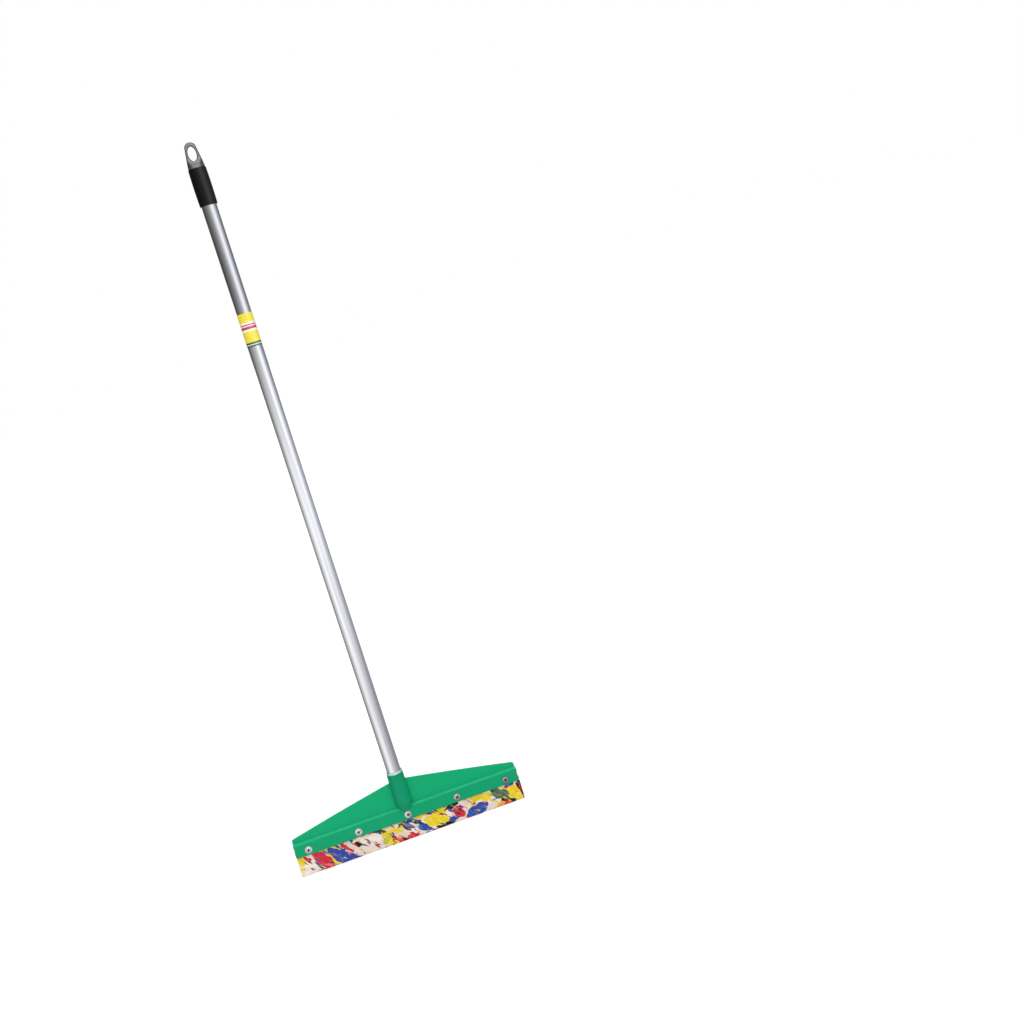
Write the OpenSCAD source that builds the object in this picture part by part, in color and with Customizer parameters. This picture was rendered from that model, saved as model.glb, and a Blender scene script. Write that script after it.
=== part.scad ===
// Floor squeegee: a foam blade clamped in the channel of a moulded head, on a tube handle that screws in.
// Millimetres. Z runs up the handle, X along the blade, and the screw heads face -Y.
// The origin is on the handle's axis, level with the blade's lower edge.

/* [Blade] */
// Height of the foam below the head
blade_exposed = 35.5; // [20:0.5:60]
// Thickness of the foam
blade_t = 12; // [8:0.5:16]
// How far the foam sticks out past each end of the head
blade_overhang = 1.5; // [0:0.25:4]
// Radius of the foam's lower corners
blade_corner_r = 3; // [1:0.5:12]
// Gap between the foam and the channel
blade_gap = 0.25; // [0.1:0.05:0.5]

/* [Head] */
// Width of the head
head_w = 400; // [300:5:600]
// Thickness of the plate
plate_t = 3.5; // [2.5:0.25:5]
// Height of the plate above the channel, at the handle's axis
plate_mid_h = 49; // [40:0.5:70]
// Height of the plate above the channel, at its ends
plate_end_h = 8; // [7:0.5:16]
// How far the plate's top edge bows out of a straight line
plate_crown = 1; // [0:0.25:4]
// Radius of the plate's outer corners
plate_corner_r = 3; // [2:0.5:6.5]
// Height of the channel's sides
channel_h = 24.5; // [20:0.5:35]
// Thickness of the channel's sides
channel_wall = 2.25; // [1.5:0.25:3]
// Thickness of the channel's roof
channel_roof = 2.5; // [2:0.25:4]
// How far the channel's middle lies behind the handle's axis
channel_back = 1.5; // [0:0.25:3]
// Radius of the channel's outer shoulders
shoulder_r = 3.5; // [1:0.25:4]
// Radius of the fillets between the plate and the channel
web_fillet_r = 1.5; // [0.5:0.25:2]

/* [Socket] */
// Wall of the socket at its mouth
socket_mouth_wall = 1.6; // [1.4:0.1:4]
// Wall of the socket at its lower end
socket_base_wall = 2.6; // [2.5:0.05:5]
// Height of the socket above the plate, at the handle's axis
socket_rise = 16; // [12:0.5:40]
// Thickness of the floor between the socket and the channel
socket_floor = 4; // [3:0.5:8]
// Gap around the tube in the socket
socket_gap = 0.3; // [0.3:0.05:0.5]
// Width of the bevel on the rim of the socket's mouth
rim_bevel_w = 1; // [0.3:0.1:1.2]
// Height of the bevel on the rim of the socket's mouth
rim_bevel_h = 4; // [0.5:0.5:8]
// Width of the raised pip behind the socket
pip_w = 9; // [6:0.5:12]
// Height of the raised pip behind the socket
pip_h = 18; // [14:1:24]
// How far the pip stands out of the socket
pip_proud = 1.2; // [0.6:0.1:2]
// Height of the pip's lower end above the channel
pip_rise = 3; // [1:0.5:8]
// Gap between the socket's round lower end and the middle screw
nose_gap = 0.4; // [0.3:0.1:3]
// How much longer than a half ball the socket's round lower end is
nose_stretch = 1.35; // [1:0.05:1.6]

/* [Thread] */
// Rise of the thread in one turn
thread_pitch = 5; // [4:0.5:6]
// Turns of thread in the socket
thread_turns = 4; // [3:1:5]
// Depth of the thread
thread_depth = 1.6; // [1.2:0.1:1.8]
// Width of the thread's crest on the handle
thread_crest = 1.2; // [0.8:0.1:1.4]
// Slope of the thread's flanks, in degrees
thread_flank = 20; // [15:1:24]
// Gap between the two threads
thread_gap = 0.3; // [0.25:0.05:0.35]

/* [Screws] */
// Distance from the outer screws to the head's ends
screw_inset = 22.5; // [15:0.5:40]
// Height of the screws above the channel's lower edge
screw_h = 9.1; // [8:0.1:11]
// Diameter of the screws' flanges
flange_d = 13; // [9:0.5:13]
// Thickness of the screws' flanges
flange_t = 0.9; // [0.6:0.1:1.4]
// Diameter of the screws' domed heads
dome_d = 8.8; // [7:0.2:8.8]
// Height of the domed heads above the flanges
dome_h = 1.8; // [1.4:0.1:2.4]
// Width of the cross recess, end to end
cross_w = 4.6; // [3:0.2:5.4]
// Width of one arm of the cross recess
cross_arm = 1.1; // [0.8:0.1:1.4]
// Depth of the cross recess
cross_depth = 1.3; // [0.8:0.1:1.6]
// Diameter of the screws' shanks
shank_d = 4; // [3:0.25:5]
// Gap around the shanks
screw_gap = 0.05; // [0.02:0.01:0.1]
// Diameter of the closed bosses behind the screws
boss_d = 9; // [8:0.5:12]
// Height of the bosses behind the channel
boss_h = 3; // [2.5:0.25:4]
// Thickness of plastic left over the screws' points
boss_skin = 1.2; // [0.8:0.1:1.5]

/* [Handle] */
// Diameter of the tube
tube_d = 24.5; // [19:0.5:25]
// Wall of the tube
tube_wall = 0.8; // [0.6:0.1:1.2]
// Length of the tube
tube_len = 1070; // [700:10:1500]
// Gap around the plugs in the tube's ends
plug_gap = 0.05; // [0.02:0.01:0.1]
// Length of the plugs in the tube's ends
plug_len = 30; // [15:1:50]
// Wall of the thread tip's hollow plug
plug_wall = 2.4; // [1.5:0.1:4]
// Thickness of the collar between the tube and the thread
collar_t = 2; // [1.5:0.25:4]
// Gap under the collar with the handle screwed home
seat_gap = 0.3; // [0.3:0.05:0.5]

/* [Grip] */
// Length of the grip
grip_len = 59; // [40:1:150]
// Wall of the grip at its ends
grip_wall = 1.9; // [1.2:0.1:4]
// How much the grip swells in the middle
grip_swell = 0.5; // [0:0.1:2]
// Gap between the grip and the tube
grip_gap = 0.05; // [0.02:0.01:0.1]
// Radius of the grip's rounded ends
grip_edge_r = 0.8; // [0.3:0.1:1]
// How far the grip stands above the tube's end
grip_lip = 5; // [1:0.5:6]

/* [Loop] */
// Height of the loop above the grip
loop_h = 41; // [34:1:60]
// Step in from the grip's end to the loop's foot
loop_step = 0.35; // [0.2:0.05:1]
// How much narrower than its foot the loop's round top is, each side
loop_taper = 4.5; // [1:0.25:4.5]
// Height of the loop's round foot above the grip
loop_foot = 1; // [0.5:0.25:4]
// Thickness of the loop at its eye
loop_t = 9; // [6:0.5:12]
// Thickness of the loop's top beside the eye
eye_side = 2.8; // [1.5:0.1:4]
// Height of the eye
eye_h = 23.5; // [16:0.5:24]
// Thickness of the loop above the eye
eye_rim = 6.5; // [4:0.25:8]

/* [Label] */
// Length of the label
label_len = 54; // [20:1:80]
// Distance from the grip down to the label
label_drop = 175; // [40:1:400]
// Thickness of the label
label_t = 0.15; // [0.1:0.05:0.3]
// Gap between the label and the tube
label_gap = 0.03; // [0.02:0.01:0.05]

/* [Hidden] */
$fn = 96;

// How far a cut runs past the face that it opens
past = 1;
// How far a raised piece is let into the solid that carries it
sink = 0.6;

// Channel: its inside, its outside and its levels
channel_in = blade_t + 2 * blade_gap;
channel_front = channel_back - channel_in / 2 - channel_wall;
channel_rear = channel_back + channel_in / 2 + channel_wall;
channel_low = blade_exposed;
channel_top = channel_low + channel_h;
roof_under = channel_top - channel_roof;
blade_w = head_w + 2 * blade_overhang;
blade_top = roof_under - blade_gap;
// The shoulder and the fillet share the narrower of the two ledges beside the plate
ledge = min(-channel_front, channel_rear) - plate_t / 2;
shoulder = min(shoulder_r, ledge * 2 / 3);
web_fillet = min(web_fillet_r, ledge / 3);

// Screws, evenly spaced along the head
screw_count = 5;
screw_step = (head_w - 2 * screw_inset) / (screw_count - 1);
screw_z = channel_low + screw_h;
shank_hole_r = shank_d / 2 + screw_gap;
boss_r = (pow(boss_d / 2, 2) + boss_h * boss_h) / (2 * boss_h);
screw_tip_y = channel_rear + boss_h - boss_skin;
point_len = shank_d / 2;
point_r = shank_d / 8;

// Tube and socket
tube_r = tube_d / 2;
tube_in_r = tube_r - tube_wall;
bore_r = tube_r + socket_gap;
mouth_r = bore_r + socket_mouth_wall;
base_r = bore_r + socket_base_wall;
mouth_z = channel_top + plate_mid_h + socket_rise;
// The socket's round lower end stops just clear of the middle screw's flange
nose_tip_z = screw_z + flange_d / 2 + nose_gap;
nose_z = nose_tip_z + nose_stretch * sqrt(base_r * base_r - channel_front * channel_front);

// Thread: the handle's ridge and the socket's ridge share one helix, half a turn of pitch apart
thread_r = tube_in_r;
core_r = thread_r - thread_depth;
flank_slope = tan(thread_flank);
stud_foot = thread_crest + 2 * thread_depth * flank_slope;
nut_bore_r = thread_r + thread_gap;
nut_crest_r = core_r + thread_gap;
nut_crest = thread_pitch - 2 * thread_gap - (stud_foot - 2 * thread_gap * flank_slope);
nut_foot = nut_crest + 2 * thread_depth * flank_slope;
// Plain length left beyond each end of the thread
thread_run = 0.5;
thread_floor = channel_top + socket_floor;
nut_start = thread_floor + nut_foot / 2 + thread_run;
thread_top = nut_start + thread_turns * thread_pitch + nut_foot / 2 + thread_run;
stud_start = nut_start + thread_pitch / 2;
stud_turns = thread_turns - 0.5;
stud_low = thread_floor + thread_run;
steps_per_turn = 30;

// Handle levels
collar_low = thread_top + seat_gap;
tube_low = collar_low + collar_t;
tube_top = tube_low + tube_len;
grip_top = tube_top + grip_lip;
grip_low = grip_top - grip_len;
loop_tip = grip_top + loop_h;
loop_foot_r = tube_r + grip_gap + grip_wall - loop_step;
loop_top_r = loop_foot_r - loop_taper;
eye_w = 2 * (loop_top_r - eye_side);
eye_z = loop_tip - eye_rim - eye_h / 2;
label_top = grip_low - label_drop;

// Points of an arc about a centre, from one angle to another
function arc(centre, r, from, to, steps = 8) =
    [for (i = [0:steps])
        let (angle = from + (to - from) * i / steps)
        centre + r * [cos(angle), sin(angle)]];

// Height of the plate's top edge at a share of the way from the handle's axis (0) to the end (1)
function plate_edge(share) =
    channel_top + plate_mid_h + (plate_end_h - plate_mid_h) * share + 4 * plate_crown * share * (1 - share);

// Section of a thread ridge at an angle: foot, crest, crest, foot
function ridge_ring(turn, foot_r, crest_r, foot, crest, pitch) =
    [for (p = [[foot_r, -foot], [crest_r, -crest], [crest_r, crest], [foot_r, foot]])
        [p[0] * cos(360 * turn), p[0] * sin(360 * turn), p[1] / 2 + pitch * turn]];

// A helical ridge that starts at level 0 on the +X side
module thread_ridge(foot_r, crest_r, foot, crest, pitch, turns) {
    count = ceil(turns * steps_per_turn);
    points = [for (i = [0:count]) each ridge_ring(turns * i / count, foot_r, crest_r, foot, crest, pitch)];
    sides = [for (i = [0:count - 1], k = [0:3], half = [0, 1])
        let (a = 4 * i + k, b = 4 * i + (k + 1) % 4)
        half == 0 ? [a, b, b + 4] : [a, b + 4, a + 4]];
    last = 4 * count;
    ends = [[2, 1, 0], [3, 2, 0], [last, last + 1, last + 2], [last, last + 2, last + 3]];
    outward = crest_r > foot_r;
    polyhedron(points, [for (f = concat(sides, ends)) outward ? f : [f[2], f[1], f[0]]]);
}

// Carries children along the row of screws, at the front face of the channel and pointing back
module at_screws(first = 1, last = screw_count) {
    for (i = [first:last])
        translate([(i - (screw_count + 1) / 2) * screw_step, channel_front, screw_z])
            rotate([-90, 0, 0])
                children();
}

module channel() {
    plate_half = plate_t / 2;
    section = concat(
        [[channel_front, channel_low]],
        arc([channel_front + shoulder, channel_top - shoulder], shoulder, 180, 90),
        arc([-plate_half - web_fillet, channel_top + web_fillet], web_fillet, -90, 0, 4),
        arc([plate_half + web_fillet, channel_top + web_fillet], web_fillet, 180, 270, 4),
        arc([channel_rear - shoulder, channel_top - shoulder], shoulder, 90, 0),
        [[channel_rear, channel_low]]
    );
    rotate([90, 0, 90])
        linear_extrude(head_w, center = true)
            polygon(section);
}

module plate() {
    steps = 10;
    half = head_w / 2;
    // The sloping edge stops short of the end, where the corner's arc takes over
    edge_end = 1 - 2 * plate_corner_r / half;
    slope = atan((plate_edge(edge_end) - plate_edge(1)) / (half * (1 - edge_end)));
    corner = [half - plate_corner_r, plate_edge(1) - plate_corner_r];
    side = concat(
        [for (i = [0:steps]) [half * edge_end * i / steps, plate_edge(edge_end * i / steps)]],
        arc(corner, plate_corner_r, 90 - slope, 0, 6),
        [[half, channel_top - sink]]
    );
    mirrored = [for (i = [len(side) - 1:-1:1]) [-side[i][0], side[i][1]]];
    rotate([90, 0, 0])
        linear_extrude(plate_t, center = true)
            polygon(concat(side, mirrored));
}

// The socket without its bore: a long round lower end, a taper and a bevelled rim
module socket_outside() {
    steps = 12;
    nose = [for (i = [0:steps])
        let (angle = 90 * i / steps)
        [base_r * sin(angle), nose_z - nose_stretch * base_r * cos(angle)]];
    rim = [[mouth_r, mouth_z - rim_bevel_h], [mouth_r - rim_bevel_w, mouth_z], [0, mouth_z]];
    rotate_extrude()
        polygon(concat(nose, rim));
}

// A round-ended pip, let into the back of the socket
module socket_pip() {
    r = pip_w / 2;
    translate([0, base_r + pip_proud - r, channel_top + pip_rise + r]) {
        sphere(r);
        cylinder(h = pip_h - pip_w, r = r);
        translate([0, 0, pip_h - pip_w])
            sphere(r);
    }
}

module screw_bosses() {
    at_screws()
        translate([0, 0, channel_rear - channel_front + boss_h - boss_r])
            sphere(boss_r);
}

module socket_bores() {
    translate([0, 0, thread_floor])
        cylinder(h = mouth_z - thread_floor + past, r = nut_bore_r);
    translate([0, 0, thread_top])
        cylinder(h = mouth_z - thread_top + past, r = bore_r);
}

module head_body() {
    color("seagreen") {
        difference() {
            union() {
                channel();
                plate();
                socket_outside();
                socket_pip();
                screw_bosses();
            }
            translate([-blade_w / 2 - past, channel_front + channel_wall, channel_low - past])
                cube([blade_w + 2 * past, channel_in, roof_under - channel_low + past]);
            socket_bores();
            at_screws()
                translate([0, 0, -past])
                    cylinder(h = screw_tip_y - channel_front + past, r = shank_hole_r);
        }
        translate([0, 0, nut_start])
            thread_ridge(nut_bore_r + sink, nut_crest_r, nut_foot + 2 * sink * flank_slope, nut_crest,
                thread_pitch, thread_turns);
    }
}

module foam_blade() {
    outline = concat(
        arc([-blade_w / 2 + blade_corner_r, blade_corner_r], blade_corner_r, 180, 270),
        arc([blade_w / 2 - blade_corner_r, blade_corner_r], blade_corner_r, 270, 360),
        [[blade_w / 2, blade_top], [-blade_w / 2, blade_top]]
    );
    color("gold")
        difference() {
            translate([0, channel_back, 0])
                rotate([90, 0, 0])
                    linear_extrude(blade_t, center = true)
                        polygon(outline);
            at_screws()
                cylinder(h = channel_rear - channel_front, r = shank_hole_r);
        }
}

// A flanged screw that stands on level 0, with its head below and its point up
module blade_screw() {
    dome_r = (pow(dome_d / 2, 2) + dome_h * dome_h) / (2 * dome_h);
    shank_len = screw_tip_y - channel_front - screw_gap;
    head_profile = concat(
        [[0, 0], [flange_d / 2, 0], [flange_d / 2, -flange_t]],
        arc([0, dome_r - dome_h - flange_t], dome_r, -acos(dome_d / 2 / dome_r), -90, 6)
    );
    color("silver")
        difference() {
            union() {
                rotate_extrude()
                    polygon(head_profile);
                cylinder(h = shank_len - point_len, d = shank_d);
                translate([0, 0, shank_len - point_len])
                    cylinder(h = point_len, r1 = shank_d / 2, r2 = point_r);
            }
            for (turn = [0, 90])
                rotate(turn)
                    translate([-cross_w / 2, -cross_arm / 2, -flange_t - dome_h - past])
                        cube([cross_w, cross_arm, cross_depth + past]);
        }
}

module thread_tip() {
    color("dimgray") {
        difference() {
            union() {
                translate([0, 0, stud_low])
                    cylinder(h = tube_low - stud_low, r = core_r);
                translate([0, 0, collar_low])
                    cylinder(h = collar_t, r = tube_r);
                translate([0, 0, tube_low - sink])
                    cylinder(h = plug_len + sink, r = tube_in_r - plug_gap);
            }
            translate([0, 0, tube_low])
                cylinder(h = plug_len + past, r = tube_in_r - plug_gap - plug_wall);
        }
        translate([0, 0, stud_start])
            thread_ridge(core_r - sink, thread_r, stud_foot + 2 * sink * flank_slope, thread_crest,
                thread_pitch, stud_turns);
    }
}

module handle_tube() {
    color("lightgray")
        translate([0, 0, tube_low])
            difference() {
                cylinder(h = tube_len, r = tube_r);
                translate([0, 0, -past])
                    cylinder(h = tube_len + 2 * past, r = tube_in_r);
            }
}

module tube_label() {
    color("yellow")
        translate([0, 0, label_top - label_len])
            difference() {
                cylinder(h = label_len, r = tube_r + label_gap + label_t);
                translate([0, 0, -past])
                    cylinder(h = label_len + 2 * past, r = tube_r + label_gap);
            }
}

module grip_sleeve() {
    steps = 10;
    in_r = tube_r + grip_gap;
    end_r = in_r + grip_wall;
    edge = min(grip_edge_r, grip_wall / 2);
    swell = [for (i = [1:steps - 1])
        let (u = i / steps)
        [end_r + 4 * grip_swell * u * (1 - u), grip_len * u]];
    profile = concat(
        [[in_r, 0]],
        arc([end_r - edge, edge], edge, -90, 0, 4),
        swell,
        arc([end_r - edge, grip_len - edge], edge, 0, 90, 4),
        [[in_r, grip_len]]
    );
    color([0.1, 0.1, 0.1])
        translate([0, 0, grip_low])
            rotate_extrude()
                polygon(profile);
}

// Front outline of the loop, from the grip's end to its round top
module loop_front() {
    lean = atan((loop_foot_r - loop_top_r) / (loop_tip - loop_top_r - grip_top));
    difference() {
        polygon(concat(
            [[-loop_foot_r, grip_top], [loop_foot_r, grip_top]],
            arc([0, loop_tip - loop_top_r], loop_top_r, lean, 180 - lean, 24)
        ));
        polygon([for (a = [0:10:350]) [eye_w / 2 * cos(a), eye_z + eye_h / 2 * sin(a)]]);
    }
}

// Side outline of the loop: as deep as its round foot, easing in to the thickness at the eye
module loop_side() {
    steps = 8;
    ease_low = grip_top + loop_foot;
    ease_high = eye_z;
    half = [for (i = [0:steps])
        let (u = i / steps)
        [loop_t / 2 + (loop_foot_r - loop_t / 2) * (1 + cos(180 * u)) / 2,
            ease_low + (ease_high - ease_low) * u]];
    right = concat([[loop_foot_r, grip_top]], half, [[loop_t / 2, loop_tip]]);
    polygon(concat(right, [for (i = [len(right) - 1:-1:0]) [-right[i][0], right[i][1]]]));
}

module hang_loop() {
    depth = 2 * loop_foot_r + past;
    color("gray") {
        intersection() {
            rotate([90, 0, 0])
                linear_extrude(depth, center = true)
                    loop_front();
            rotate([90, 0, 90])
                linear_extrude(depth, center = true)
                    loop_side();
            translate([0, 0, grip_top])
                cylinder(h = loop_h, r = loop_foot_r);
        }
        translate([0, 0, tube_top])
            cylinder(h = grip_lip + sink, r = tube_r);
        translate([0, 0, tube_top - plug_len])
            cylinder(h = plug_len + sink, r = tube_in_r - plug_gap);
    }
}

head_body();
foam_blade();
for (i = [1:screw_count])
    at_screws(i, i) blade_screw();
thread_tip();
handle_tube();
tube_label();
grip_sleeve();
hang_loop();
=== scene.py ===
"""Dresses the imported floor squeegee: a chip-foam blade in a moulded green head, on a screwed-in tube.

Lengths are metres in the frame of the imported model. Z runs up the handle, X along the blade, and the screw
heads face -Y. Each piece takes its place from the CAD node that it stands for.
"""

import logging
import math
from dataclasses import dataclass, field
from enum import Enum
from typing import Callable

import bpy
import numpy as np
from mathutils import Matrix, Vector


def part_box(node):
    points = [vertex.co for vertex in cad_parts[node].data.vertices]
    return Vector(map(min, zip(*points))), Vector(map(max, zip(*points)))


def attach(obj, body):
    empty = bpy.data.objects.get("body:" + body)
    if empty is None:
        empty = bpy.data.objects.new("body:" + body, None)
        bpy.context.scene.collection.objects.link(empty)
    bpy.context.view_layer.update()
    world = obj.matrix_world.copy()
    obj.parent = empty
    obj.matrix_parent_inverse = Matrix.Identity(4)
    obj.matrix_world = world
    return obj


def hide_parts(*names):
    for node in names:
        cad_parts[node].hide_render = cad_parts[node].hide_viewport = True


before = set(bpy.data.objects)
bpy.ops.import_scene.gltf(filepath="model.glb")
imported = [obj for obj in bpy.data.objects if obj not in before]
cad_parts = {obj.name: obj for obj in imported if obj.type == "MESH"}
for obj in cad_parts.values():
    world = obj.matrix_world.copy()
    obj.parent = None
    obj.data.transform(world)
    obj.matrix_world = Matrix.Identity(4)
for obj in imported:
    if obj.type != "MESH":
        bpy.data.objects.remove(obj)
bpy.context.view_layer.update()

Array = np.ndarray
Colour = tuple[float, float, float, float]
# A field gives a value at X, Y and Z, negative inside its shape
Field = Callable[[Array, Array, Array], Array]
# A zone of fine grid lines has a middle and a fineness, which is its half width and its step
Zone = tuple[float, float, float]
Fineness = tuple[float, float]

MM = 0.001
GRADE_SAMPLES = 6000
SLOPE_STEP = 0.04 * MM
SETTLE_STEPS = 4
SETTLE_REACH = 0.6
LEAST_SLOPE = 0.2
EDGE_GAIN = 1.6
ARC_POINTS = 6
log = logging.getLogger("squeegee")


class Body(Enum):
    """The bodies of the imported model."""

    HEAD = "head"
    LABEL = "label"
    HANDLE = "handle"


# Colours

def paint(red: float, green: float, blue: float) -> Colour:
    """Turns display values from 0 to 255 into a linear colour.

    Args:
        red: Display value of red.
        green: Display value of green.
        blue: Display value of blue.

    Returns:
        The linear colour, with full alpha: a power curve above a short straight toe.
    """
    shown = np.array([red, green, blue]) / 255
    linear = np.where(shown <= 0.04045, shown / 12.92, ((shown + 0.055) / 1.055) ** 2.4)
    return (*linear.tolist(), 1.0)


# Shapes as fields

def meet_round(a: Array, b: Array, radius: float) -> Array:
    """Field of what lies in both shapes, with a rounded edge.

    Formula: the larger field, and past both faces moved in by the radius, the distance from their corner.

    Args:
        a: Field of the first shape, negative inside.
        b: Field of the second shape.
        radius: Radius of the edge.

    Returns:
        The joint field.
    """
    corner = np.hypot(np.maximum(a + radius, 0), np.maximum(b + radius, 0))
    return np.minimum(np.maximum(a, b), -radius) + corner


def join_fillet(a: Array, b: Array, radius: float) -> Array:
    """Field of two shapes together, with a fillet where they meet: the mirror image of meet_round."""
    return -meet_round(-a, -b, radius)


def cut_round(a: Array, b: Array, radius: float) -> Array:
    """Field of the first shape less the second, with a rounded edge along the cut."""
    return meet_round(a, -b, radius)


def slope_of(shape: Field, points: Array) -> Array:
    """Slope of a field by central differences, a small step to either side on each axis.

    Args:
        shape: The field.
        points: Points, one to a row.

    Returns:
        The slope at each point, one to a row.
    """
    moves = np.eye(3) * SLOPE_STEP
    rises = [shape(*(points + move).T) - shape(*(points - move).T) for move in moves]
    return np.stack(rises, axis=1) / (2 * SLOPE_STEP)


def unit(vectors: Array) -> Array:
    """Vectors of length one, row by row."""
    return vectors / np.maximum(np.linalg.norm(vectors, axis=1, keepdims=True), 1e-12)


def graded_lines(start: float, stop: float, coarse: float, zones: list[Zone]) -> Array:
    """Grid lines that crowd together in some zones.

    Formula: the step grows from a zone's own step to the coarse one over a distance of four coarse steps.
    The running sum of its inverse counts the lines, and the lines lie at even counts.

    Args:
        start: First line.
        stop: Last line.
        coarse: Step far from every zone.
        zones: Middle, half width and step of each zone.

    Returns:
        The lines in order.
    """
    place = np.linspace(start, stop, GRADE_SAMPLES)
    middle, reach, fine = np.array(zones).T
    away = np.abs(place[:, None] - middle) - reach
    step = np.min(fine + (coarse - fine) * np.clip(away / (4 * coarse), 0, 1), axis=1)
    count = np.concatenate([[0], np.cumsum(np.diff(place) / step[1:])])
    return np.interp(np.linspace(0, count[-1], math.ceil(count[-1]) + 1), count, place)


@dataclass
class Skin:
    """One closed surface: its points, its faces, and values that ride on the points."""

    points: Array
    quads: Array
    triangles: Array = field(default_factory=lambda: np.zeros((0, 3), int))
    normals: Array | None = None
    values: dict[str, Array] = field(default_factory=dict)

    def volume(self) -> float:
        """Sums the tetrahedra between the origin and the faces.

        Returns:
            The volume, negative if the faces point inward.
        """
        corners = np.concatenate([self.quads[:, [0, 1, 2]], self.quads[:, [0, 2, 3]], self.triangles])
        a, b, c = (self.points[corners[:, i]] for i in range(3))
        return float(np.einsum("ij,ij->", a, np.cross(b, c))) / 6

    def face_out(self) -> "Skin":
        """Turns every face round if the surface is inside out.

        Returns:
            The skin itself.
        """
        if self.volume() < 0:
            self.quads, self.triangles = self.quads[:, ::-1], self.triangles[:, ::-1]
        return self


def part_of(grid: Array, axis: int, start: int, stop: int | None) -> Array:
    """A slice of a grid along one of its axes.

    Args:
        grid: The grid.
        axis: The axis to cut across.
        start: First index.
        stop: Index after the last, or none for the rest.

    Returns:
        The part of the grid.
    """
    pick = [slice(None)] * grid.ndim
    pick[axis] = slice(start, stop)
    return grid[tuple(pick)]


def settle(shape: Field, points: Array, reach: float) -> Array:
    """Steps points along a field's slope onto its zero level.

    Args:
        shape: The field.
        points: Points near the level, one to a row.
        reach: Longest step, where the slope is one.

    Returns:
        The settled points.
    """
    for _ in range(SETTLE_STEPS):
        slope = slope_of(shape, points)
        move = shape(*points.T) / np.maximum(np.einsum("ij,ij->i", slope, slope), LEAST_SLOPE)
        points = points - slope * np.clip(move, -reach, reach)[:, None]
    return points


def surface_net(shape: Field, lines: tuple[Array, Array, Array]) -> Skin:
    """Surface of a field's zero level on a box of grid lines.

    Formula: each cell with corners of both signs holds one point, the mean of the points where its edges
    cross zero. Each crossed edge gives a quad of the four cells round it, facing the positive side. The
    points then settle onto the zero level.

    Args:
        shape: The field, negative inside.
        lines: Grid lines along X, Y and Z.

    Returns:
        The closed surface, with normals from the field's slope.
    """
    value = shape(*np.meshgrid(*lines, indexing="ij"))
    cells = tuple(n - 1 for n in value.shape)
    total, count = np.zeros(cells + (3,)), np.zeros(cells)
    crossed = {}
    for axis in range(3):
        low, high = part_of(value, axis, 0, -1), part_of(value, axis, 1, None)
        crossed[axis] = (low < 0) != (high < 0)
        share = np.divide(low, low - high, out=np.zeros_like(low), where=crossed[axis])
        ends = [line[:-1] if i == axis else line for i, line in enumerate(lines)]
        point = np.stack(np.meshgrid(*ends, indexing="ij"), axis=-1)
        steps = np.diff(lines[axis]).reshape([-1 if i == axis else 1 for i in range(3)])
        point[..., axis] += share * steps
        point *= crossed[axis][..., None]
        b, c = (axis + 1) % 3, (axis + 2) % 3
        for db, dc in ((0, 0), (0, 1), (1, 0), (1, 1)):
            total += part_of(part_of(point, b, db, cells[b] + db), c, dc, cells[c] + dc)
            count += part_of(part_of(crossed[axis], b, db, cells[b] + db), c, dc, cells[c] + dc)
    held = count > 0
    index = np.cumsum(held.ravel()).reshape(cells) - 1
    points = total[held] / count[held][:, None]
    quads = []
    for axis, cut in crossed.items():
        b, c = (axis + 1) % 3, (axis + 2) % 3
        at = np.array(np.nonzero(part_of(part_of(cut, b, 1, -1), c, 1, -1)))
        up, over = np.eye(3, dtype=int)[[b, c]][..., None]
        ring = [index[tuple(at + step)] for step in (0 * up, up, up + over, over)]
        rising = value[tuple(at + up + over)] < 0
        quad = np.stack(ring, axis=1)
        quads.append(np.where(rising[:, None], quad, quad[:, ::-1]))
    points = settle(shape, points, SETTLE_REACH * max(np.diff(line).min() for line in lines))
    return Skin(points, np.concatenate(quads), normals=unit(slope_of(shape, points)))


def edge_share(shape: Field, skin: Skin, depth: float) -> Array:
    """How sharp an outside edge each point lies on.

    Formula: a point sunk straight in by the depth lies that deep under a flat face, and less deep under an
    edge.

    Args:
        shape: The field of the skin.
        skin: The skin, with normals.
        depth: How far the points are sunk.

    Returns:
        The share at each point, from 0 on a flat face to 1.
    """
    sunk = skin.points - skin.normals * depth
    return np.clip((shape(*sunk.T) + depth) / depth * EDGE_GAIN, 0, 1)


# Shapes as turned profiles

def arc(middle: tuple[float, float], radius: float, start: float, stop: float) -> Array:
    """Points of an arc: the middle plus the radius at even angles.

    Args:
        middle: Centre of the arc.
        radius: Radius of the arc.
        start: First angle in degrees.
        stop: Last angle in degrees.

    Returns:
        The points, one to a row.
    """
    angle = np.radians(np.linspace(start, stop, ARC_POINTS))
    return np.array(middle) + radius * np.stack([np.cos(angle), np.sin(angle)], axis=1)


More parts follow.
